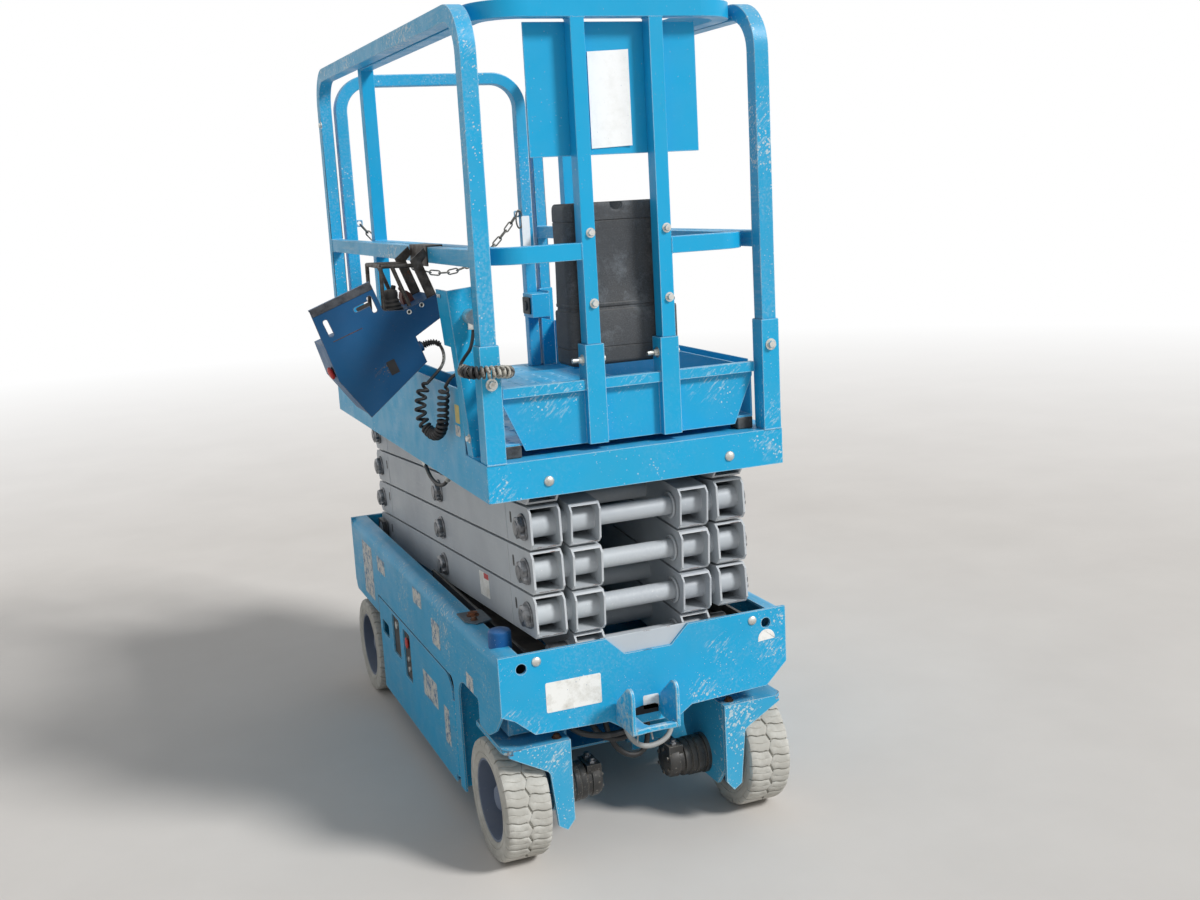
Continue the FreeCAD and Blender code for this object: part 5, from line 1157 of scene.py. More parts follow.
@dataclass(frozen=True)
class Tyre:
    """A solid tyre with two columns of wavy blocks split by a zig-zag groove round its middle."""

    radius: float = 0.1525
    width: float = 0.114
    bore: float = 0.103
    rows: int = 24
    depth: float = 0.0055
    groove: float = 0.0034
    zigzag: float = 0.0048
    wave: float = 0.0075

    def drop(self, share: float) -> float:
        """How far a groove's line has run down round the tyre at a share of a column's width."""
        stops = ((0.0, 0.1), (0.22, 0.35), (0.42, -0.3), (0.62, -0.62), (0.84, -0.45), (1.0, -0.75))
        return self.wave * between(stops, share)

    def crown(self, across: float) -> float:
        """Radius of the tread's face at a distance from either side of the tyre."""
        in_from_side = min(across, self.width - across)
        if in_from_side < 0.003:
            return self.radius - 0.010 + 0.007 * in_from_side / 0.003
        if in_from_side < 0.010:
            return self.radius - 0.003 + 0.003 * (in_from_side - 0.003) / 0.007
        return self.radius

    def build(self, name: str, body: str, node: str) -> None:
        """Makes the tyre round a wheel's place and lets it stand for the CAD tyre."""
        low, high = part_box(node)
        middle = (low + high) / 2 - ORIGIN
        left = low.x - ORIGIN.x
        shape = Shape()
        self.carcass(shape, left, middle)
        pitch = 2 * math.pi / self.rows
        for column in (0, 1):
            for row in range(self.rows):
                self.block(shape, left, middle, column, (row + 0.5 * column) * pitch, pitch)
        tyre = shape.piece(name, body, TYRE)
        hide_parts(node)

    def carcass(self, shape: Shape, left: float, middle: Vector) -> None:
        """The body of the tyre under its blocks, with a rib round each side."""
        half = [(0.004, self.bore), (0.0, self.bore + 0.006), (0.0, self.bore + 0.012),
                (0.0016, self.bore + 0.013), (0.0016, self.bore + 0.016), (0.0, self.bore + 0.017),
                (0.0, self.radius - 0.016), (0.004, self.radius - 0.009), (0.012, self.radius - self.depth)]
        section = half + [(self.width - a, r) for a, r in reversed(half)]
        sides = 96
        rings = []
        for across, radius in section:
            rings.append([Vector((left + across, middle.y - radius * math.cos(2 * math.pi * k / sides),
                                  middle.z + radius * math.sin(2 * math.pi * k / sides))) for k in range(sides)])
        shape.rings(rings, closed=True)

    def block(self, shape: Shape, left: float, middle: Vector, column: int, start: float, pitch: float) -> None:
        """One tread block: a curved patch with rounded borders, a fine cut across it, and its walls."""
        gap = self.groove / self.radius
        rounds = [0.0, 0.04, 0.26, 0.46, 0.5, 0.54, 0.76, 0.96, 1.0]
        shares = [0.0, 0.05, 0.17, 0.3, 0.44, 0.58, 0.72, 0.86, 0.97, 1.0]
        top, under = [], []
        for j, round_share in enumerate(rounds):
            top_row, under_row = [], []
            for i, share in enumerate(shares):
                turn = start + gap / 2 + (pitch - gap) * round_share
                middle_line = self.width / 2 + self.zigzag * (1 - 4 * abs((turn / pitch) % 1.0 - 0.5))
                inner = middle_line - self.groove / 2 if column == 0 else middle_line + self.groove / 2
                across = share * inner if column == 0 else self.width - share * (self.width - inner)
                run = across / inner if column == 0 else (across - inner) / (self.width - inner)
                angle = turn + self.drop(run) / self.radius
                radius = self.crown(across)
                if j in (0, len(rounds) - 1) or i == len(shares) - 1:
                    radius -= 0.0009
                if j == 4 and 2 <= i <= 6:
                    radius -= 0.0018
                base = min(self.crown(across) - self.depth - 0.001, self.radius - self.depth - 0.001)
                base = max(base, self.radius - 0.017)
                x = left + across
                top_row.append((x, middle.y - radius * math.cos(angle), middle.z + radius * math.sin(angle)))
                under_row.append((x, middle.y - base * math.cos(angle), middle.z + base * math.sin(angle)))
            top.append([shape.vertex(p) for p in top_row])
            under.append([shape.vertex(p) for p in under_row])
        faces = shape.mesh.faces
        for j in range(len(rounds) - 1):
            for i in range(len(shares) - 1):
                faces.new((top[j][i], top[j][i + 1], top[j + 1][i + 1], top[j + 1][i]))
        border = [(0, i) for i in range(len(shares))] + [(j, len(shares) - 1) for j in range(1, len(rounds))]
        border += [(len(rounds) - 1, i) for i in range(len(shares) - 2, -1, -1)]
        border += [(j, 0) for j in range(len(rounds) - 2, 0, -1)]
        for (j0, i0), (j1, i1) in zip(border, border[1:] + border[:1]):
            faces.new((top[j0][i0], under[j0][i0], under[j1][i1], top[j1][i1]))
        faces.new([under[j][i] for j, i in border])


@dataclass(frozen=True)
class Wheels:
    """The four wheels: treads, hub caps and wheel bolts."""

    bolt_circle: float = 0.055
    bolts: int = 6

    def build(self) -> None:
        """Dresses every wheel."""
        tread = Tyre()
        for end in ("front", "rear"):
            for side in ("left", "right"):
                place = end + "_" + side
                body = "wheel_" + place
                tread.build("tread_" + place, body, "tyre_" + place)
                dress("rim_" + place, RIM_GREY, 0.002)
                self.hub(place, body, 1 if side == "right" else -1)

    def hub(self, place: str, body: str, out: int) -> None:
        """The domed cap and the bolts on a rim's disc."""
        low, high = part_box("rim_" + place)
        middle = (low + high) / 2 - ORIGIN
        outer = (high.x if out > 0 else low.x) - ORIGIN.x
        disc = outer - out * 0.062
        shape = Shape()
        along = (out, 0.0, 0.0)
        face = outer - out * 0.032
        shape.turned([(0.0, 0.037), (0.006, 0.036), (0.016, 0.026), (0.02, 0.012), (0.021, 0.001)],
                     (face - out * 0.002, middle.y, middle.z), along, 28)
        for k in range(self.bolts):
            angle = 2 * math.pi * (k + 0.25) / self.bolts
            shape.bolt((disc, middle.y + self.bolt_circle * math.cos(angle),
                        middle.z + self.bolt_circle * math.sin(angle)), along, 0.017)
        shape.piece("hub_" + place, body, RIM_GREY)


@dataclass(frozen=True)
class Label:
    """A blank plate or sticker on a flat face.

    facing is the axis that its face points along, with side -1 or 1. a and b are its two extents
    on that face and at the face's place.
    """

    name: str
    body: str
    facing: Axis
    side: int
    at: float
    a: tuple[float, float]
    b: tuple[float, float]
    finish: Finish = WHITE_PLATE
    corner: float = 0.004
    thickness: float = 0.0006
    slot: Slot = Slot.BLUE

    def build(self) -> None:
        """Makes the plate."""
        shape = Shape()
        outline = rounded_box(self.a[0], self.a[1], self.b[0], self.b[1], self.corner)
        shape.prism(outline, self.facing, self.at - self.side * 0.0004, self.at + self.side * self.thickness)
        shape.piece(self.name, self.body, self.finish)


@dataclass(frozen=True)
class Chassis:
    """The chassis: front plate with its fasteners, side plates, corner cylinder and entry steps."""

    front: float = -0.800
    side: float = 0.3775
    top: float = 0.561

    def build(self) -> None:
        """Dresses the chassis and its fixed parts."""
        dress("chassis_frame", CHASSIS_BLUE, 0.0022)
        dress("notch_plate", PLATE_GREY, 0.001)
        dress("kingpin_brackets", YOKE_BLUE)
        dress("stack_tracks", TRACK_DARK)
        dress("rear_spindles", MOTOR_BLACK)
        dress("tray_hinges", CHASSIS_BLUE, 0.001)
        dress("entry_ladder", CHASSIS_BLUE, 0.0018)
        self.tie_down()
        self.fasteners()
        self.corner_cylinder()
        self.flange_plate()
        self.labels()
        self.ladder_treads()
        self.rear_details()

    def fasteners(self) -> None:
        """The carriage bolts on the front plate."""
        shape = Shape()
        for x in (-0.284, 0.284):
            shape.dome_head((x, self.front + 0.001, 0.538), (0, -1, 0), 0.012, 0.007)
        shape.piece("front_bolts", "chassis", ZINC)

    def tie_down(self) -> None:
        """The tie-down bracket: two ears, a thick front bar and the plate behind it, with a dark sheet that paints
        the shade of its wide opening.
        """
        left, right, thick, reach, low = -0.092, 0.032, 0.010, 0.100, 0.347
        front = self.front - reach
        ear = [(self.front, low + 0.004), (self.front - 0.018, low), (front + 0.003, low), (front, low + 0.004),
               (front, low + 0.092), (front + 0.0025, low + 0.103), (front + 0.010, low + 0.111),
               (front + 0.022, low + 0.1125), (front + 0.030, low + 0.109), (self.front - 0.010, low + 0.060),
               (self.front, low + 0.040)]
        shape = Shape()
        for x in (left, right - thick):
            shape.prism(ear, Axis.X, x, x + thick)
        x0, x1 = left + thick - 0.001, right - thick + 0.001
        shape.prism([(x0, front + 0.001), (x0 + 0.014, front + 0.001), (x0 + 0.030, front + 0.004),
                     (x1 - 0.030, front + 0.004), (x1 - 0.014, front + 0.001), (x1, front + 0.001),
                     (x1, front + 0.024), (x1 - 0.008, front + 0.018), (x0 + 0.040, front + 0.018),
                     (x0 + 0.034, front + 0.030), (x0 + 0.034, self.front - 0.001), (x0, self.front - 0.001)],
                    Axis.Z, low + 0.001, low + 0.0145)
        bracket = shape.piece("tie_down_bracket", "chassis", EAR_BLUE, 0.0022)
        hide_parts("front_tie_down")
        ties = Shape()
        for x, lean in ((-0.066, -0.006), (-0.036, 0.005)):
            ties.prism([(x, low + 0.004), (x + 0.004, low + 0.004), (x + 0.004 + lean, 0.318), (x + lean, 0.318)],
                       Axis.Y, -0.870, -0.8688)
        ties.piece("hose_ties", "chassis", HOSE_GREY)
        # A thin dark sheet on the front plate: painted shade where the opening would be.
        opening = Shape()
        opening.prism([(x0 + 0.004, low + 0.020), (x0 + 0.012, low + 0.026), (x0 + 0.030, low + 0.030),
                       (x0 + 0.044, low + 0.027), (x0 + 0.058, low + 0.030), (x1 - 0.012, low + 0.031),
                       (x1 - 0.003, low + 0.026), (x1 - 0.003, low + 0.008), (x0 + 0.004, low + 0.008)],
                      Axis.Y, self.front - 0.0006, self.front + 0.001)
        opening.piece("tie_down_opening_shade", "chassis", PAINTED_SHADE_DARK)

    def corner_cylinder(self) -> None:
        """The blue upright cylinder inside the left front corner, in a darker blue that is painted shade from the
        platform above it.
        """
        shape = Shape()
        shape.turned([(0.0, 0.028), (0.178, 0.028), (0.184, 0.025), (0.187, 0.012), (0.187, 0.001)],
                     (-0.338, -0.700, 0.412), (0, 0, 1), 32)
        shape.block((-0.366, -0.693, 0.458), (-0.338, -0.648, 0.533))
        shape.piece("corner_cylinder", "chassis", PAINTED_SHADE_BLUE, 0.0015)

    def flange_plate(self) -> None:
        """The small plate with a rusted cap that lies on the left flange."""
        shape = Shape()
        shape.prism([(-0.366, -0.430), (-0.366, -0.500), (-0.344, -0.536), (-0.300, -0.520), (-0.300, -0.430)],
                    Axis.Z, self.top - 0.0005, self.top + 0.004)
        shape.piece("flange_plate", "chassis", PLATE_WORN, 0.001)
        cap = Shape()
        cap.turned([(0.0, 0.016), (0.003, 0.016), (0.004, 0.013), (0.009, 0.012), (0.010, 0.009), (0.0105, 0.001)],
                   (-0.334, -0.468, self.top + 0.0035), (0, 0, 1), 26)
        cap.bolt((-0.342, -0.505, self.top + 0.0035), (0, 0, 1), 0.012)
        cap.piece("flange_cap", "chassis", RUSTY_STEEL)

    def labels(self) -> None:
        """The blank plates and stickers of the front and the left side."""
        front, left = self.front, -self.side
        # The torn labels' greyed white is painted shade of the left side.
        for label in (
            Label("front_plate_label", "chassis", Axis.Y, -1, front, (-0.266, -0.126), (0.407, 0.481)),
            Label("front_small_label", "chassis", Axis.Y, -1, front, (-0.0195, 0.0215), (0.366, 0.401)),
            Label("side_label_long", "chassis", Axis.X, -1, left, (0.505, 0.640), (0.345, 0.520), TORN_LABEL_IN_PAINTED_SHADE),
            Label("side_label_top", "chassis", Axis.X, -1, left, (0.33, 0.43), (0.468, 0.515), TORN_LABEL_IN_PAINTED_SHADE),
            Label("side_label_middle", "chassis", Axis.X, -1, left, (-0.108, -0.018), (0.486, 0.532), TORN_LABEL_IN_PAINTED_SHADE),
            Label("side_label_broad", "chassis", Axis.X, -1, left, (-0.286, -0.206), (0.421, 0.493), TORN_LABEL_IN_PAINTED_SHADE),
            Label("side_label_front", "chassis", Axis.X, -1, left, (-0.579, -0.521), (0.401, 0.442), TORN_LABEL_IN_PAINTED_SHADE),
            Label("tray_label_broad", "hydraulic_tray", Axis.X, -1, left, (-0.211, -0.065), (0.228, 0.302),
                  TORN_LABEL_IN_PAINTED_SHADE),
            Label("tray_label_tall", "hydraulic_tray", Axis.X, -1, left, (-0.321, -0.272), (0.162, 0.267),
                  TORN_LABEL_IN_PAINTED_SHADE),
        ):
            label.build()
        shape = Shape()
        outline = [(0.298, 0.480), (0.347, 0.483)] + arc((0.3225, 0.486), 0.0235, -8, 188, 10)
        shape.prism(outline, Axis.Y, front + 0.0004, front - 0.0006)
        shape.piece("front_half_round_sticker", "chassis", WHITE_PLATE)

    def ladder_treads(self) -> None:
        """Punched grip strips on the entry steps."""
        low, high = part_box("entry_ladder")
        foot = low.z
        shape = Shape()
        for lift in (0.008, 0.168, 0.296):
            for row in range(3):
                for k in range(12):
                    x = -0.154 + 0.028 * k
                    y = self.rear_edge() + 0.018 + 0.018 * row
                    shape.turned([(0.0, 0.006), (0.0016, 0.0055), (0.0022, 0.0035)], (x, y, foot + lift - 0.0002),
                                 (0, 0, 1), 10)
        shape.piece("ladder_grips", "chassis", YOKE_BLUE)

    def rear_edge(self) -> float:
        """Y of the rear plate's outer face."""
        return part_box("entry_ladder")[0].y - ORIGIN.y

    def rear_details(self) -> None:
        """Bolts and a blank label on the rear plate."""
        y = self.rear_edge()
        bolts = Shape()
        for x in (-0.25, 0.25):
            for z in (0.40, 0.53):
                bolts.bolt((x, y - 0.0005, z), (0, 1, 0), 0.017)
        bolts.piece("rear_bolts", "chassis", ZINC)
        Label("rear_label", "chassis", Axis.Y, 1, y, (-0.09, 0.09), (0.47, 0.53)).build()


@dataclass(frozen=True)
class Trays:
    """The swing-out trays with what shows in and behind their openings."""

    side: float = 0.3775

    def build(self) -> None:
        """Dresses both trays and what they carry."""
        dress("tray_left", CHASSIS_BLUE, 0.0016)
        dress("tray_right", CHASSIS_BLUE, 0.0016)
        dress("hydraulic_unit", DARK_PANEL_AND_HOLE_SHADE, 0.004)
        dress("battery_pack", BATTERY_CASE, 0.004)
        self.controls()
        self.battery_tops()

    def controls(self) -> None:
        """The ground controls behind the left tray's openings."""
        x = -0.3725
        shape = Shape()
        shape.block((x, 0.062, 0.205), (x + 0.012, 0.162, 0.362))
        shape.block((x, 0.188, 0.238), (x + 0.012, 0.296, 0.372))
        shape.piece("ground_panel", "hydraulic_tray", DARK_PANEL_AND_HOLE_SHADE, 0.001)
        knob = Shape()
        knob.turned([(0.0, 0.009), (0.003, 0.009), (0.0032, 0.016), (0.006, 0.0165), (0.0068, 0.0140),
                     (0.007, 0.001)], (x, 0.114, 0.322), (-1, 0, 0), 26)
        knob.piece("ground_stop_button", "hydraulic_tray", RED_PLASTIC)
        switches = Shape()
        for z in (0.272, 0.24):
            switches.turned([(0.0, 0.008), (0.004, 0.008), (0.0045, 0.006)], (x, 0.112, z), (-1, 0, 0), 18)
        switches.turned([(0.0, 0.012), (0.0045, 0.012)], (x, 0.24, 0.34), (-1, 0, 0), 18)
        switches.piece("ground_switches", "hydraulic_tray", ZINC)

    def battery_tops(self) -> None:
        """Caps and terminals on the batteries."""
        low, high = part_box("battery_pack")
        low, high = low - ORIGIN, high - ORIGIN
        caps = Shape()
        posts = Shape()
        pitch = (high.y - low.y + 0.010) / 3
        for row in range(3):
            y0 = low.y + row * pitch
            for k in range(3):
                caps.turned([(0.0, 0.016), (0.008, 0.015), (0.009, 0.012)],
                            (high.x - 0.045, y0 + 0.06 + 0.055 * k, high.z - 0.001), (0, 0, 1), 18)
            for y in (y0 + 0.03, y0 + pitch - 0.045):
                posts.turned([(0.0, 0.01), (0.014, 0.008)], (low.x + 0.04, y, high.z - 0.001), (0, 0, 1), 16)
        caps.piece("battery_caps", "battery_tray", JOYSTICK_BLACK)
        posts.piece("battery_posts", "battery_tray", ZINC)


@dataclass(frozen=True)
class Steering:
    """The yokes, their drive motors and the tie rod."""

    axle_y: float = -0.654
    axle_z: float = 0.1525
    inner: float = 0.206

    def build(self) -> None:
        """Dresses both sides."""
        dress("tie_rod", TRACK_DARK, 0.001)
        for side, out in (("left", -1), ("right", 1)):
            dress("yoke_" + side, YOKE_BLUE, 0.002)
            self.motor(side, out)
            self.kingpin_cap(side, out)

    def motor(self, side: str, out: int) -> None:
        """A hydraulic motor: flange, ribbed body, port block with its fittings and end cap."""
        shape = Shape()
        face = out * self.inner
        towards = (-out, 0.0, 0.0)
        profile = [(0.0, 0.052), (0.010, 0.052), (0.012, 0.046), (0.020, 0.046), (0.022, 0.050), (0.034, 0.050),
                   (0.036, 0.047), (0.040, 0.050), (0.052, 0.050), (0.054, 0.046), (0.058, 0.048), (0.070, 0.048),
                   (0.073, 0.042), (0.084, 0.042), (0.086, 0.046), (0.104, 0.045), (0.112, 0.040), (0.117, 0.022),
                   (0.118, 0.001)]
        shape.turned(profile, (face, self.axle_y, self.axle_z), towards, 36)
        near, far = sorted((face - out * 0.074, face - out * 0.112))
        shape.block((near, self.axle_y - 0.034, self.axle_z + 0.024), (far, self.axle_y + 0.034, self.axle_z + 0.047))
        for k in range(6):
            angle = math.pi * (k + 0.5) / 3
            shape.bolt((face - out * 0.112, self.axle_y + 0.031 * math.cos(angle),
                        self.axle_z + 0.031 * math.sin(angle)), towards, 0.009)
        motor = shape.piece("motor_" + side, "steer_" + side, MOTOR_BLACK, 0.0012)
        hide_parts("drive_motor_" + side)
        ports = Shape()
        for y in (-0.018, 0.018):
            base = (face - out * 0.093, self.axle_y + y, self.axle_z + 0.046)
            ports.hexagon(base, (0, 0, 1), 0.019, 0.008)
            ports.turned([(0.0, 0.007), (0.014, 0.007), (0.015, 0.005)], base, (0, 0, 1), 16)
        ports.piece("motor_ports_" + side, "steer_" + side, NUT_STEEL)

    def kingpin_cap(self, side: str, out: int) -> None:
        """The bolt heads on a yoke's top plate."""
        shape = Shape()
        for y in (-0.105, 0.075):
            shape.bolt((out * 0.232, self.axle_y + y, 0.3235), (0, 0, 1), 0.015)
        shape.piece("yoke_bolts_" + side, "steer_" + side, RUSTY_STEEL)


@dataclass(frozen=True)
class ScissorStack:
    """The folded stack: its pivot nuts, weld beads, seams, holes drawn as painted shade and row label."""

    arm_length: float = 1.460
    pitch: float = 0.1065
    level_zero: float = 0.5275
    rear_y: float = 0.713
    outer_face: float = 0.276
    arm_depth: float = 0.100
    stages: int = 4

    @property
    def slope(self) -> float:
        """Angle of an arm from level, in radians."""
        return math.asin(self.pitch / self.arm_length)

    @property
    def front_y(self) -> float:
        """Y of the front pins."""
        return self.rear_y - self.arm_length * math.cos(self.slope)

    @property
    def middle_y(self) -> float:
        """Y of the centre pins."""
        return (self.rear_y + self.front_y) / 2

    def level(self, number: float) -> float:
        """Height of the end pins at a level."""
        return self.level_zero + number * self.pitch

    def arm_place(self, stage: int, outer: bool) -> Matrix:
        """The way from an arm drawn level about the origin to its place."""
        turn = -self.slope if outer else self.slope
        shift = Matrix.Translation((0.0, self.middle_y, self.level(stage - 0.5)))
        return shift @ Matrix.Rotation(turn, 4, "X")

    def build(self) -> None:
        """Dresses the arms and adds their small parts."""
        for stage in range(1, self.stages + 1):
            dress("outer_arm_%d" % stage, ARM_GREY, 0.0010)
            dress("inner_arm_%d" % stage, ARM_GREY, 0.0010)
            self.nuts(stage)
            self.seams(stage)
        dress("base_rollers", NUT_STEEL, 0.002)
        dress("top_rollers", NUT_STEEL, 0.002)
        dress("lift_barrel", ARM_GREY, 0.002)
        dress("lift_rod", CHROME, 0.0)
        self.row_label()
        self.cylinder_parts()

    def nuts(self, stage: int) -> None:
        """Nuts on washers with a keeper bolt beside each, on the outer arms' faces."""
        ends = [(self.front_y, self.level(stage)), (self.middle_y, self.level(stage - 0.5)),
                (self.rear_y, self.level(stage - 1))]
        if stage == 1:
            ends = ends[:2]
        if stage == self.stages:
            ends = ends[1:]
        shape = Shape()
        for y, z in ends:
            for out in (-1, 1):
                x, along = out * self.outer_face, (out, 0.0, 0.0)
                shape.turned([(0.0, 0.032), (0.0035, 0.032), (0.0045, 0.031)], (x, y, z), along, 30)
                shape.hexagon((x + out * 0.004, y, z), along, 0.050, 0.014)
                shape.turned([(0.0, 0.017), (0.0025, 0.0165), (0.0028, 0.001)], (x + out * 0.0175, y, z), along, 24)
                beside = (x + out * 0.003, y - 0.021, z - 0.014)
                shape.turned([(0.0, 0.013), (0.003, 0.013)], beside, along, 20)
                shape.hexagon((x + out * 0.006, y - 0.021, z - 0.014), along, 0.0165, 0.010)
        nuts = shape.piece("nuts_%d" % stage, "outer_arms_%d" % stage, NUT_STEEL)
        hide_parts("pivot_nuts_%d" % stage)

    def seams(self, stage: int) -> None:
        """Weld beads round the bosses and the seams, and thin dark sheets of painted shade for the oblong holes near
        the arms' ends.
        """
        half = self.arm_length / 2
        beads = Shape(self.arm_place(stage, True))
        holes = Shape(self.arm_place(stage, True))
        for out in (-1, 1):
            x = out * self.outer_face
            for s in (-half + 0.125, half - 0.112):
                beads.bead([(x, s, -0.047), (x, s, 0.047)], 0.0016)
            # Each oblong hole is a thin dark sheet on the arm's face: painted shade.
            for s in (-half + 0.088, half - 0.088):
                holes.prism(rounded_box(s - 0.006, s + 0.006, -0.002, 0.026, 0.0058), Axis.X,
                            x - out * 0.0005, x + out * 0.0003)
        beads.piece("arm_seams_%d" % stage, "outer_arms_%d" % stage, ARM_GREY)
        holes.piece("arm_hole_shade_%d" % stage, "outer_arms_%d" % stage, DARK_PANEL_AND_HOLE_SHADE)
        rims = Shape(self.arm_place(stage, False))
        inner_x = 0.1395 - 0.038
        for out in (-1, 1):
            for s in (-half, half):
                x = out * inner_x - out * 0.0042
                ring = [Vector((x, s + 0.030 * math.cos(a), 0.030 * math.sin(a)))
                        for a in (2 * math.pi * k / 40 for k in range(40))]
                rims.tube(ring, 0.003, 6, closed=True)
        rims.piece("boss_welds_%d" % stage, "inner_arms_%d" % stage, ARM_GREY)

    def row_label(self) -> None:
        """The blank label on the lowest visible arm."""
        place = self.arm_place(1, True)
        shape = Shape(place)
        x = -self.outer_face
        shape.prism(rounded_box(-0.425, -0.345, -0.022, 0.042, 0.003), Axis.X, x + 0.0004, x - 0.0006)
        shape.piece("arm_label", "outer_arms_1", WHITE_PLATE)
        band = Shape(place)
        band.prism(rounded_box(-0.4245, -0.385, 0.027, 0.0415, 0.002), Axis.X, x, x - 0.0009)
        band.piece("arm_label_band", "outer_arms_1", RED_PLASTIC)

    def cylinder_parts(self) -> None:
        """Logs where the lift cylinder's barrel lies in the machine's frame."""
        low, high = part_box("lift_barrel")
        LOG.info("lift barrel from %s to %s", tuple(round(v, 3) for v in low - ORIGIN),
                 tuple(round(v, 3) for v in high - ORIGIN))


@dataclass(frozen=True)
class Chain:
    """The entry chain, its links of round wire, with the hook and the blank tag at its right end."""

    post_y: float = 0.756
    eye_x: float = 0.270
    end_z: float = 1.535
    sag: float = 0.174
    links: int = 21
    wire: float = 0.005
    width: float = 0.020
    slack: float = 0.0007
    eye_hole: float = 0.007

    def curve(self, t: float) -> Vector:
        """The chain's line at t from 0 to 1."""
        slope = math.atan2(2 * self.sag, self.eye_x)
        reach = self.eye_hole - self.slack / 2
        x, z = self.eye_x - reach * math.cos(slope), self.end_z - reach * math.sin(slope)
        return Vector((x * (2 * t - 1), self.post_y, z - self.sag * (1 - (2 * t - 1) ** 2)))

    def build(self) -> None:
        """Makes the links, the hook and the tag."""
        run = Run([self.curve(i / 400) for i in range(401)])
        pitch = run.length / self.links
        shape = Shape()
        for i in range(self.links):
            a, b = run.at(pitch * i), run.at(pitch * (i + 1))
            along = (b - a).normalized()
            side = Vector((0, 1, 0)) if i % 2 == 0 else along.cross(Vector((0, 1, 0)))
            half = (pitch + self.slack) / 2 + self.wire / 2
            turn = self.width / 2 - self.wire / 2
            path = []
            for end in (1, -1):
                for k in range(7):
                    angle = math.pi * (k / 6 - 0.5)
                    path.append((a + b) / 2 + along * (end * (half - turn + turn * math.cos(angle)))
                                + side * (end * turn * math.sin(angle)))
            shape.tube(path, self.wire / 2, 8, closed=True)
        chain = shape.piece("chain", "platform", CHAIN_STEEL)
        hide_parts("entry_chain")
        self.hook()

    def hook(self) -> None:
        """The snap hook at the right eye and the tag that hangs from it."""
        hook = Shape()
        x, z, y = self.eye_x + 0.002, self.end_z - 0.018, self.post_y - 0.014
        path = [Vector((x + 0.011 * math.cos(a), y, z + 0.030 * math.sin(a)))
                for a in (2 * math.pi * k / 24 for k in range(24))]
        hook.tube(path, 0.0028, 8, closed=True)
        hook.turned([(0.0, 0.0045), (0.022, 0.0045)], (x + 0.011, y, z - 0.012), (0, 0, 1), 12)
        hook.piece("chain_hook", "platform", CHAIN_STEEL)
        tag = Shape()
        face = self.post_y - 0.0205
        tag.prism(rounded_box(x + 0.006, x + 0.034, z - 0.104, z + 0.010, 0.004), Axis.Y, face - 0.001, face)
        tag.piece("chain_tag", "platform", PAPER)


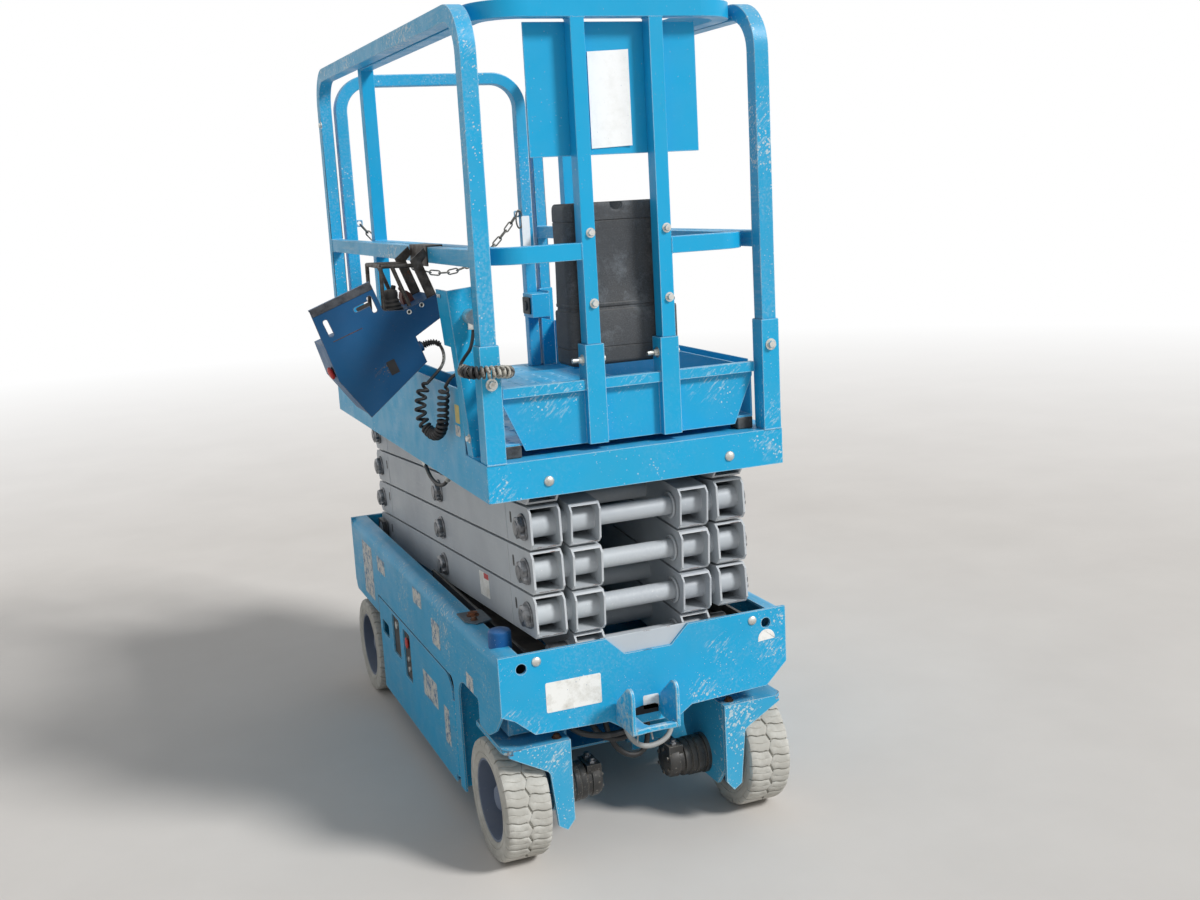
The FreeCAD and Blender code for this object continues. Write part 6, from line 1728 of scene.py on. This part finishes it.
@dataclass(frozen=True)
class Platform:
    """The main deck with its rails, sockets, fasteners, floor and rear fittings."""

    deck_top: float = 1.0155
    front: float = -0.8145
    rail_x: float = 0.350
    rail_top: float = 2.012
    mid_top: float = 1.489

    def build(self) -> None:
        """Dresses the platform."""
        dress("platform_deck", PLATFORM_BLUE, 0.0022)
        dress("rail_sockets", PLATFORM_BLUE, 0.0024)
        dress("side_rail_left", RAIL_BLUE, 0.0036)
        dress("side_rail_right", RAIL_BLUE, 0.0036)
        dress("rear_rail", RAIL_BLUE, 0.0036)
        dress("outlet_box", PLATFORM_BLUE, 0.002)
        self.fasteners()
        self.welds()
        self.floor()
        self.outlet()

    def fasteners(self) -> None:
        """The skirt's carriage bolts, the posts' bolts and the nuts inside."""
        shape = Shape()
        for x in (-0.230, 0.230):
            shape.dome_head((x, self.front + 0.001, 0.963), (0, -1, 0), 0.0125, 0.008)
        for x in (-self.rail_x, self.rail_x):
            shape.bolt((x, self.front + 0.0003, 1.2205 if x > 0 else 1.1955), (0, -1, 0), 0.017)
            shape.bolt((x, 0.756 + 0.0228, 1.2205), (0, 1, 0), 0.017)
            shape.bolt((x + math.copysign(0.019, x), 0.730, 1.846), (math.copysign(1, x), 0, 0), 0.013)
        shape.piece("platform_bolts", "platform", ZINC)

    def welds(self) -> None:
        """Weld beads where tubes meet."""
        shape = Shape()
        for out in (-1, 1):
            x0, x1 = out * self.rail_x - 0.017, out * self.rail_x + 0.017
            for y in (-0.7915 + 0.0192, 0.756 - 0.0192):
                low, high = self.mid_top - 0.038, self.mid_top
                shape.bead([(x0, y, low), (x0, y, high), (x1, y, high), (x1, y, low), (x0, y, low)], 0.0022)
            for y in (-0.7915, 0.756):
                a, b = out * self.rail_x - 0.0232, out * self.rail_x + 0.0232
                shape.bead([(a, y - 0.0232, self.deck_top), (b, y - 0.0232, self.deck_top)], 0.0022)
        shape.piece("rail_welds", "platform", PLATFORM_BLUE)

    def floor(self) -> None:
        """Raised grip bars on the main deck behind the roll-out deck."""
        shape = Shape()
        random.seed(7)
        for row in range(13):
            for column in range(13):
                x = -0.324 + 0.054 * column
                y = 0.408 + 0.030 * row
                if abs(x) > 0.31 or y > 0.79:
                    continue
                turn = math.radians(45 if (row + column) % 2 else -45)
                across = Vector((math.cos(turn), math.sin(turn), 0))
                self.grip(shape, Vector((x, y, self.deck_top)), across)
        shape.piece("floor_grips", "platform", PLATFORM_BLUE)

    @staticmethod
    def grip(shape: Shape, at: Vector, along: Vector) -> None:
        """One lens-shaped grip of chequer plate."""
        side = Vector((-along.y, along.x, 0))
        rim = []
        for k in range(12):
            angle = 2 * math.pi * k / 12
            rim.append(at + along * (0.013 * math.cos(angle)) + side * (0.0042 * math.sin(angle)))
        crest = [p.lerp(at, 0.45) + Vector((0, 0, 0.0016)) for p in rim]
        shape.rings([[p - Vector((0, 0, 0.0003)) for p in rim], crest])

    def outlet(self) -> None:
        """The socket cover and the plate's bolts at the right rear."""
        low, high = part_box("outlet_box")
        low, high = low - ORIGIN, high - ORIGIN
        shape = Shape()
        shape.prism(rounded_box(low.y + 0.012, low.y + 0.078, low.z + 0.022, low.z + 0.078, 0.006), Axis.X,
                    low.x + 0.0005, low.x - 0.006)
        shape.turned([(0.0, 0.017), (0.005, 0.017), (0.006, 0.014)], (low.x - 0.0055, low.y + 0.045, low.z + 0.05),
                     (-1, 0, 0), 24)
        shape.piece("outlet_cover", "platform", BLACK_PLASTIC)
        bolts = Shape()
        for z in (0.02, 0.16):
            bolts.bolt((high.x - 0.0045, high.y - 0.018, low.z + z), (-1, 0, 0), 0.010)
        bolts.piece("outlet_bolts", "platform", ZINC)


@dataclass(frozen=True)
class Extension:
    """The roll-out deck: its panel, rails, upper panel with a blank sheet, pads and document box."""

    front: float = -0.772
    post_x: float = 0.094
    half_width: float = 0.318
    deck_z: float = 1.049

    def build(self) -> None:
        """Dresses the roll-out deck."""
        dress("extension_deck", EXTENSION_BLUE, 0.002)
        dress("extension_rails", TOP_RAIL_BLUE, 0.0036)
        dress("upper_panel", TOP_RAIL_BLUE, 0.001)
        dress("slide_blocks", PAD_BLACK, 0.003)
        self.fasteners()
        self.welds()
        self.blank_sheet()
        self.floor()
        DocumentBox().build()

    def fasteners(self) -> None:
        """Bolts through the posts and the sockets."""
        shape = Shape()
        for x in (-self.post_x, self.post_x):
            for z in (1.352, 1.510):
                shape.bolt((x + 0.005, self.front - 0.0228, z), (0, -1, 0), 0.0135)
            shape.bolt((x - 0.0228, self.front - 0.004, 1.224), (-1, 0, 0), 0.0155)
            shape.turned([(0.0, 0.0055), (0.016, 0.0055)], (x - 0.033, self.front - 0.004, 1.224), (-1, 0, 0), 12)
            shape.bolt((x + 0.0228, self.front - 0.004, 1.224), (1, 0, 0), 0.0135)
        shape.piece("extension_bolts", "extension", ZINC)

    def welds(self) -> None:
        """Weld beads under the top rail and beside the mid rails."""
        shape = Shape()
        y0, y1 = self.front - 0.004 - 0.0172, self.front - 0.004 + 0.0172
        for x in (-self.post_x, self.post_x):
            for z in (1.974,):
                shape.bead([(x - 0.0172, y0, z), (x + 0.0172, y0, z), (x + 0.0172, y1, z), (x - 0.0172, y1, z),
                            (x - 0.0172, y0, z)], 0.0026)
            out = math.copysign(1, x)
            shape.bead([(x + out * 0.0172, y0 - 0.001, 1.452), (x + out * 0.0172, y0 - 0.001, 1.489)], 0.0026)
        shape.piece("extension_welds", "extension", TOP_RAIL_BLUE)

    def blank_sheet(self) -> None:
        """The blank sheet on the upper panel, a little curled."""
        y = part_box("upper_panel")[0].y - ORIGIN.y
        shape = Shape()
        rings = []
        for i in range(13):
            x = -0.060 + 0.098 * i / 12
            lift = 0.0012 + 0.0035 * (max(0.0, i - 8) / 4) ** 2
            slant = 0.004 * i / 12
            rings.append([Vector((x, y - lift, 1.694 + slant)), Vector((x, y - lift - 0.0008, 1.694 + slant)),
                          Vector((x, y - lift - 0.0008, 1.904 + slant)), Vector((x, y - lift, 1.904 + slant))])
        shape.rings(rings)
        shape.piece("blank_sheet", "extension", PAPER)

    def floor(self) -> None:
        """Chequer grips on the roll-out deck."""
        shape = Shape()
        for row in range(36):
            for column in range(12):
                x = -0.292 + 0.0531 * column
                y = self.front + 0.020 + 0.030 * row
                if y > 0.30 or (y < self.front + 0.16 and abs(x) < 0.17):
                    continue
                turn = math.radians(45 if (row + column) % 2 else -45)
                across = Vector((math.cos(turn), math.sin(turn), 0))
                Platform.grip(shape, Vector((x, y, self.deck_z)), across)
        shape.piece("extension_grips", "extension", EXTENSION_BLUE)


@dataclass(frozen=True)
class DocumentBox:
    """The black moulded box: a waisted upper shell over a wider foot, with a finger notch on top.

    skin holds the outer skin's rings as (height, inset of the ends, inset of the front and back).
    """

    left: float = -0.133
    right: float = 0.146
    depth: float = 0.112
    corner: float = 0.024
    top_round: float = 0.018
    notch_x: float = -0.002
    notch: float = 0.0145
    skin: tuple[tuple[float, float, float], ...] = (
        (1.2040, 0.0090, 0.0090), (1.2060, 0.0045, 0.0045), (1.2110, 0.0012, 0.0012), (1.2140, 0.0006, 0.0006),
        (1.2435, 0.0, 0.0), (1.2445, 0.0016, 0.0016), (1.2460, 0.0016, 0.0016), (1.2470, 0.0, 0.0),
        (1.3260, 0.0, 0.0), (1.3300, 0.0012, 0.0012), (1.3312, 0.0050, 0.0050), (1.3380, 0.0062, 0.0062),
        (1.3392, 0.0036, 0.0030), (1.3450, 0.0030, 0.0022), (1.3470, 0.0046, 0.0040), (1.3700, 0.0044, 0.0056),
        (1.4100, 0.0043, 0.0085), (1.4500, 0.0042, 0.0100), (1.4900, 0.0042, 0.0088), (1.5200, 0.0042, 0.0066),
        (1.5325, 0.0042, 0.0058), (1.5335, 0.0056, 0.0072), (1.5350, 0.0056, 0.0072), (1.5360, 0.0042, 0.0052),
        (1.5620, 0.0044, 0.0050), (1.5700, 0.0050, 0.0056), (1.5735, 0.0066, 0.0072), (1.5750, 0.0088, 0.0094),
        (1.5735, 0.0112, 0.0118), (1.5690, 0.0122, 0.0128), (1.5400, 0.0124, 0.0150), (1.4500, 0.0124, 0.0170),
        (1.3600, 0.0124, 0.0150))

    def build(self) -> None:
        """Makes the box with its brackets and lets it stand for the CAD box."""
        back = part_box("document_box")[1].y - ORIGIN.y
        shape = Shape()
        shape.rings([self.ring(back, *row) for row in self.skin])
        for x in (-0.094, 0.094):
            shape.block((x - 0.012, back - self.depth - 0.028, 1.30), (x + 0.012, back - self.depth + 0.012, 1.53))
        box = shape.piece("moulded_box", "extension", BOX_PLASTIC)
        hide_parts("document_box")

    def ring(self, back: float, height: float, ends: float, faces: float) -> list[Vector]:
        """One ring of the skin, lowered at the ends of the top and in the notch of its front edge."""
        x0, x1 = self.left + ends, self.right - ends
        y0, y1 = back - self.depth + faces, back - faces
        outline = rounded_box(x0, x1, y0, y1, self.corner - ends, 6)
        marks = [self.notch_x + self.notch * m for m in (-2.2, -1.06, -0.98, -0.9, -0.72, -0.45, -0.15,
                                                       0.15, 0.45, 0.72, 0.9, 0.98, 1.06, 2.2)]
        front = [(x, y0) for x in marks]
        rear = [(x, y1) for x in reversed(marks)]
        ring = []
        for x, y in front + outline[:14] + rear + outline[14:]:
            side = self.top_round - min(x - self.left, self.right - x)
            fall = self.top_round - math.sqrt(max(self.top_round ** 2 - max(side, 0.0) ** 2, 0.0))
            top = 1.575 - fall
            if y < (y0 + y1) / 2 and abs(x - self.notch_x) < self.notch:
                top -= 0.006 + 0.012 * math.sqrt(1 - ((x - self.notch_x) / self.notch) ** 2)
            squeeze = max(0.0, (height - 1.540) / 0.035)
            ring.append(Vector((x, y, height if squeeze == 0.0 else 1.540 + (top - 1.540) * squeeze)))
        return ring


@dataclass(frozen=True)
class ControlBox:
    """The tilted control box on the left rail, with its joystick, switches, guard and stop button."""

    corner_x: float = -0.665
    corner_z: float = 1.360
    tilt: float = 21.0
    front: float = -0.430
    depth: float = 0.165

    def place(self) -> Matrix:
        """The way from the box drawn level from its upper left corner to its place."""
        turn = Matrix.Rotation(-math.radians(self.tilt), 4, "Y")
        return Matrix.Translation((self.corner_x, 0.0, self.corner_z)) @ turn

    def build(self) -> None:
        """Dresses the box and adds its fittings."""
        # The box's darker blue is painted shade.
        dress("control_box", CONTROL_SHADE_BLUE, 0.0014)
        dress("control_guard", GUARD_STEEL, 0.0012)
        dress("controller_bracket", PLATFORM_BLUE, 0.0014)
        dress("cord_connector", ZINC, 0.0012)
        self.joystick()
        self.stop_button()
        self.front_details()
        self.channel_details()

    def joystick(self) -> None:
        """The ribbed boot, the grip above it and the switch beside it."""
        shape = Shape(self.place())
        y = self.front + 0.035
        lean = Vector((0.28, 0, 1)).normalized()
        start = Vector((0.187, y, -0.0975))
        profile = [(0.0, 0.0265), (0.004, 0.0265), (0.006, 0.024), (0.010, 0.0255), (0.014, 0.0215),
                   (0.019, 0.0225), (0.024, 0.0185), (0.029, 0.0195), (0.034, 0.0165), (0.040, 0.0180),
                   (0.047, 0.0185), (0.053, 0.0165), (0.057, 0.011), (0.058, 0.001)]
        shape.turned(profile, start, lean, 26)
        shape.turned([(0.0, 0.006), (0.010, 0.006), (0.012, 0.004)], start + lean * 0.052 + Vector((0.008, 0, 0)),
                     (0.6, 0, 0.8), 14)
        stick = shape.piece("joystick_grip", "platform", JOYSTICK_BLACK)
        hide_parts("joystick")
        switch = Shape(self.place())
        switch.prism([(0.227, -0.100), (0.257, -0.100), (0.255, -0.080), (0.248, -0.069), (0.236, -0.069),
                      (0.229, -0.080)], Axis.Y, y + 0.040, y + 0.074)
        switch.turned([(0.0, 0.005), (0.012, 0.005), (0.016, 0.003)], (0.242, y + 0.057, -0.071), (-0.3, 0, 1), 12)
        switch.piece("box_switch", "platform", SWITCH_RED, 0.0012)

    def stop_button(self) -> None:
        """The red mushroom button with its collar on the box's left side."""
        shape = Shape(self.place())
        y = self.front + 0.045
        shape.turned([(0.0, 0.010), (0.004, 0.010), (0.005, 0.0150), (0.008, 0.0160), (0.011, 0.0150),
                      (0.0135, 0.0105), (0.0142, 0.001)], (-0.0045, y, -0.164), (-1, 0, 0), 28)
        button = shape.piece("mushroom_button", "platform", RED_PLASTIC)
        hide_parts("stop_button")
        collar = Shape(self.place())
        collar.turned([(0.0, 0.014), (0.002, 0.014), (0.003, 0.012)], (-0.0045, y, -0.164), (-1, 0, 0), 26)
        collar.piece("button_collar", "platform", JOYSTICK_BLACK)

    def front_details(self) -> None:
        """The rusty hem, the fold's ridge, screws, the black window on the front plate and dark discs of painted
        shade in the screws' holes.
        """
        y = self.front
        hem = Shape(self.place())
        hem.prism([(0.0005, 0.0003), (0.1595, 0.0003), (0.1585, -0.019), (0.0015, -0.019)], Axis.Y, y + 0.0006,
                  y - 0.0016)
        hem.piece("box_hem", "platform", HEM_STEEL, 0.0006)
        ridge = Shape(self.place())
        ridge.bead([(0.019, y + 0.0004, -0.091), (0.096, y + 0.0004, -0.092)], 0.0012)
        ridge.piece("box_fold", "platform", RUSTY_STEEL)
        screws = Shape(self.place())
        for right, down in ((0.216, 0.107), (0.251, 0.105)):
            screws.turned([(0.0, 0.0062), (0.0014, 0.0062), (0.0018, 0.0050), (0.0008, 0.0034), (0.0004, 0.001)],
                          (right, y + 0.0003, -down), (0, -1, 0), 18)
        screws.piece("box_screws", "platform", ZINC)
        window = Shape(self.place())
        window.prism(rounded_box(0.111, 0.133, -0.227, -0.192, 0.002), Axis.Y, y + 0.0004, y - 0.0008)
        window.prism(rounded_box(0.102, 0.138, -0.0515, -0.0425, 0.004), Axis.Y, y + 0.0004, y - 0.0004)
        # Dark discs in the screws' hollow centres: painted shade of their holes.
        for right, down in ((0.216, 0.107), (0.251, 0.105)):
            window.turned([(0.0, 0.0034), (0.0013, 0.0034), (0.0014, 0.001)], (right, y + 0.0002, -down),
                          (0, -1, 0), 14)
        window.piece("box_window_and_hole_shade", "platform", DARK_PANEL_AND_HOLE_SHADE)

    def channel_details(self) -> None:
        """Screws, blank labels and the lower bolt of the folded channel behind the front post."""
        screws = Shape()
        for y, z in ((-0.648, 1.386), (-0.632, 1.386)):
            screws.turned([(0.0, 0.0048), (0.0015, 0.0048), (0.0022, 0.003)], (-0.4065, y, z), (-1, 0, 0), 16)
        screws.bolt((-0.3755, -0.700, 1.061), (-1, 0, 0), 0.013)
        screws.piece("channel_screws", "platform", ZINC)
        # The torn white label's greyed tone is painted shade.
        for label in (
            Label("channel_label_yellow", "platform", Axis.X, -1, -0.3755, (-0.630, -0.594), (1.084, 1.128),
                  YELLOW_LABEL),
            Label("channel_label_white", "platform", Axis.X, -1, -0.3755, (-0.628, -0.588), (1.052, 1.078),
                  TORN_LABEL_IN_PAINTED_SHADE),
        ):
            label.build()


def main() -> None:
    """Builds the scene and reports each part of it."""
    logging.basicConfig(level=logging.INFO, format="%(message)s", stream=sys.stdout)
    Viewpoint().build()
    CurlyCord().build()
    for hose in HOSES:
        hose.build()
    Studio().build()
    for part in (Chassis(), Trays(), Wheels(), Steering(), ScissorStack(), Platform(), Chain(), Extension(),
                 ControlBox()):
        before = len(bpy.context.scene.objects)
        part.build()
        LOG.info("%s: %d pieces added", type(part).__name__, len(bpy.context.scene.objects) - before)


if __name__ == "__main__":
    main()
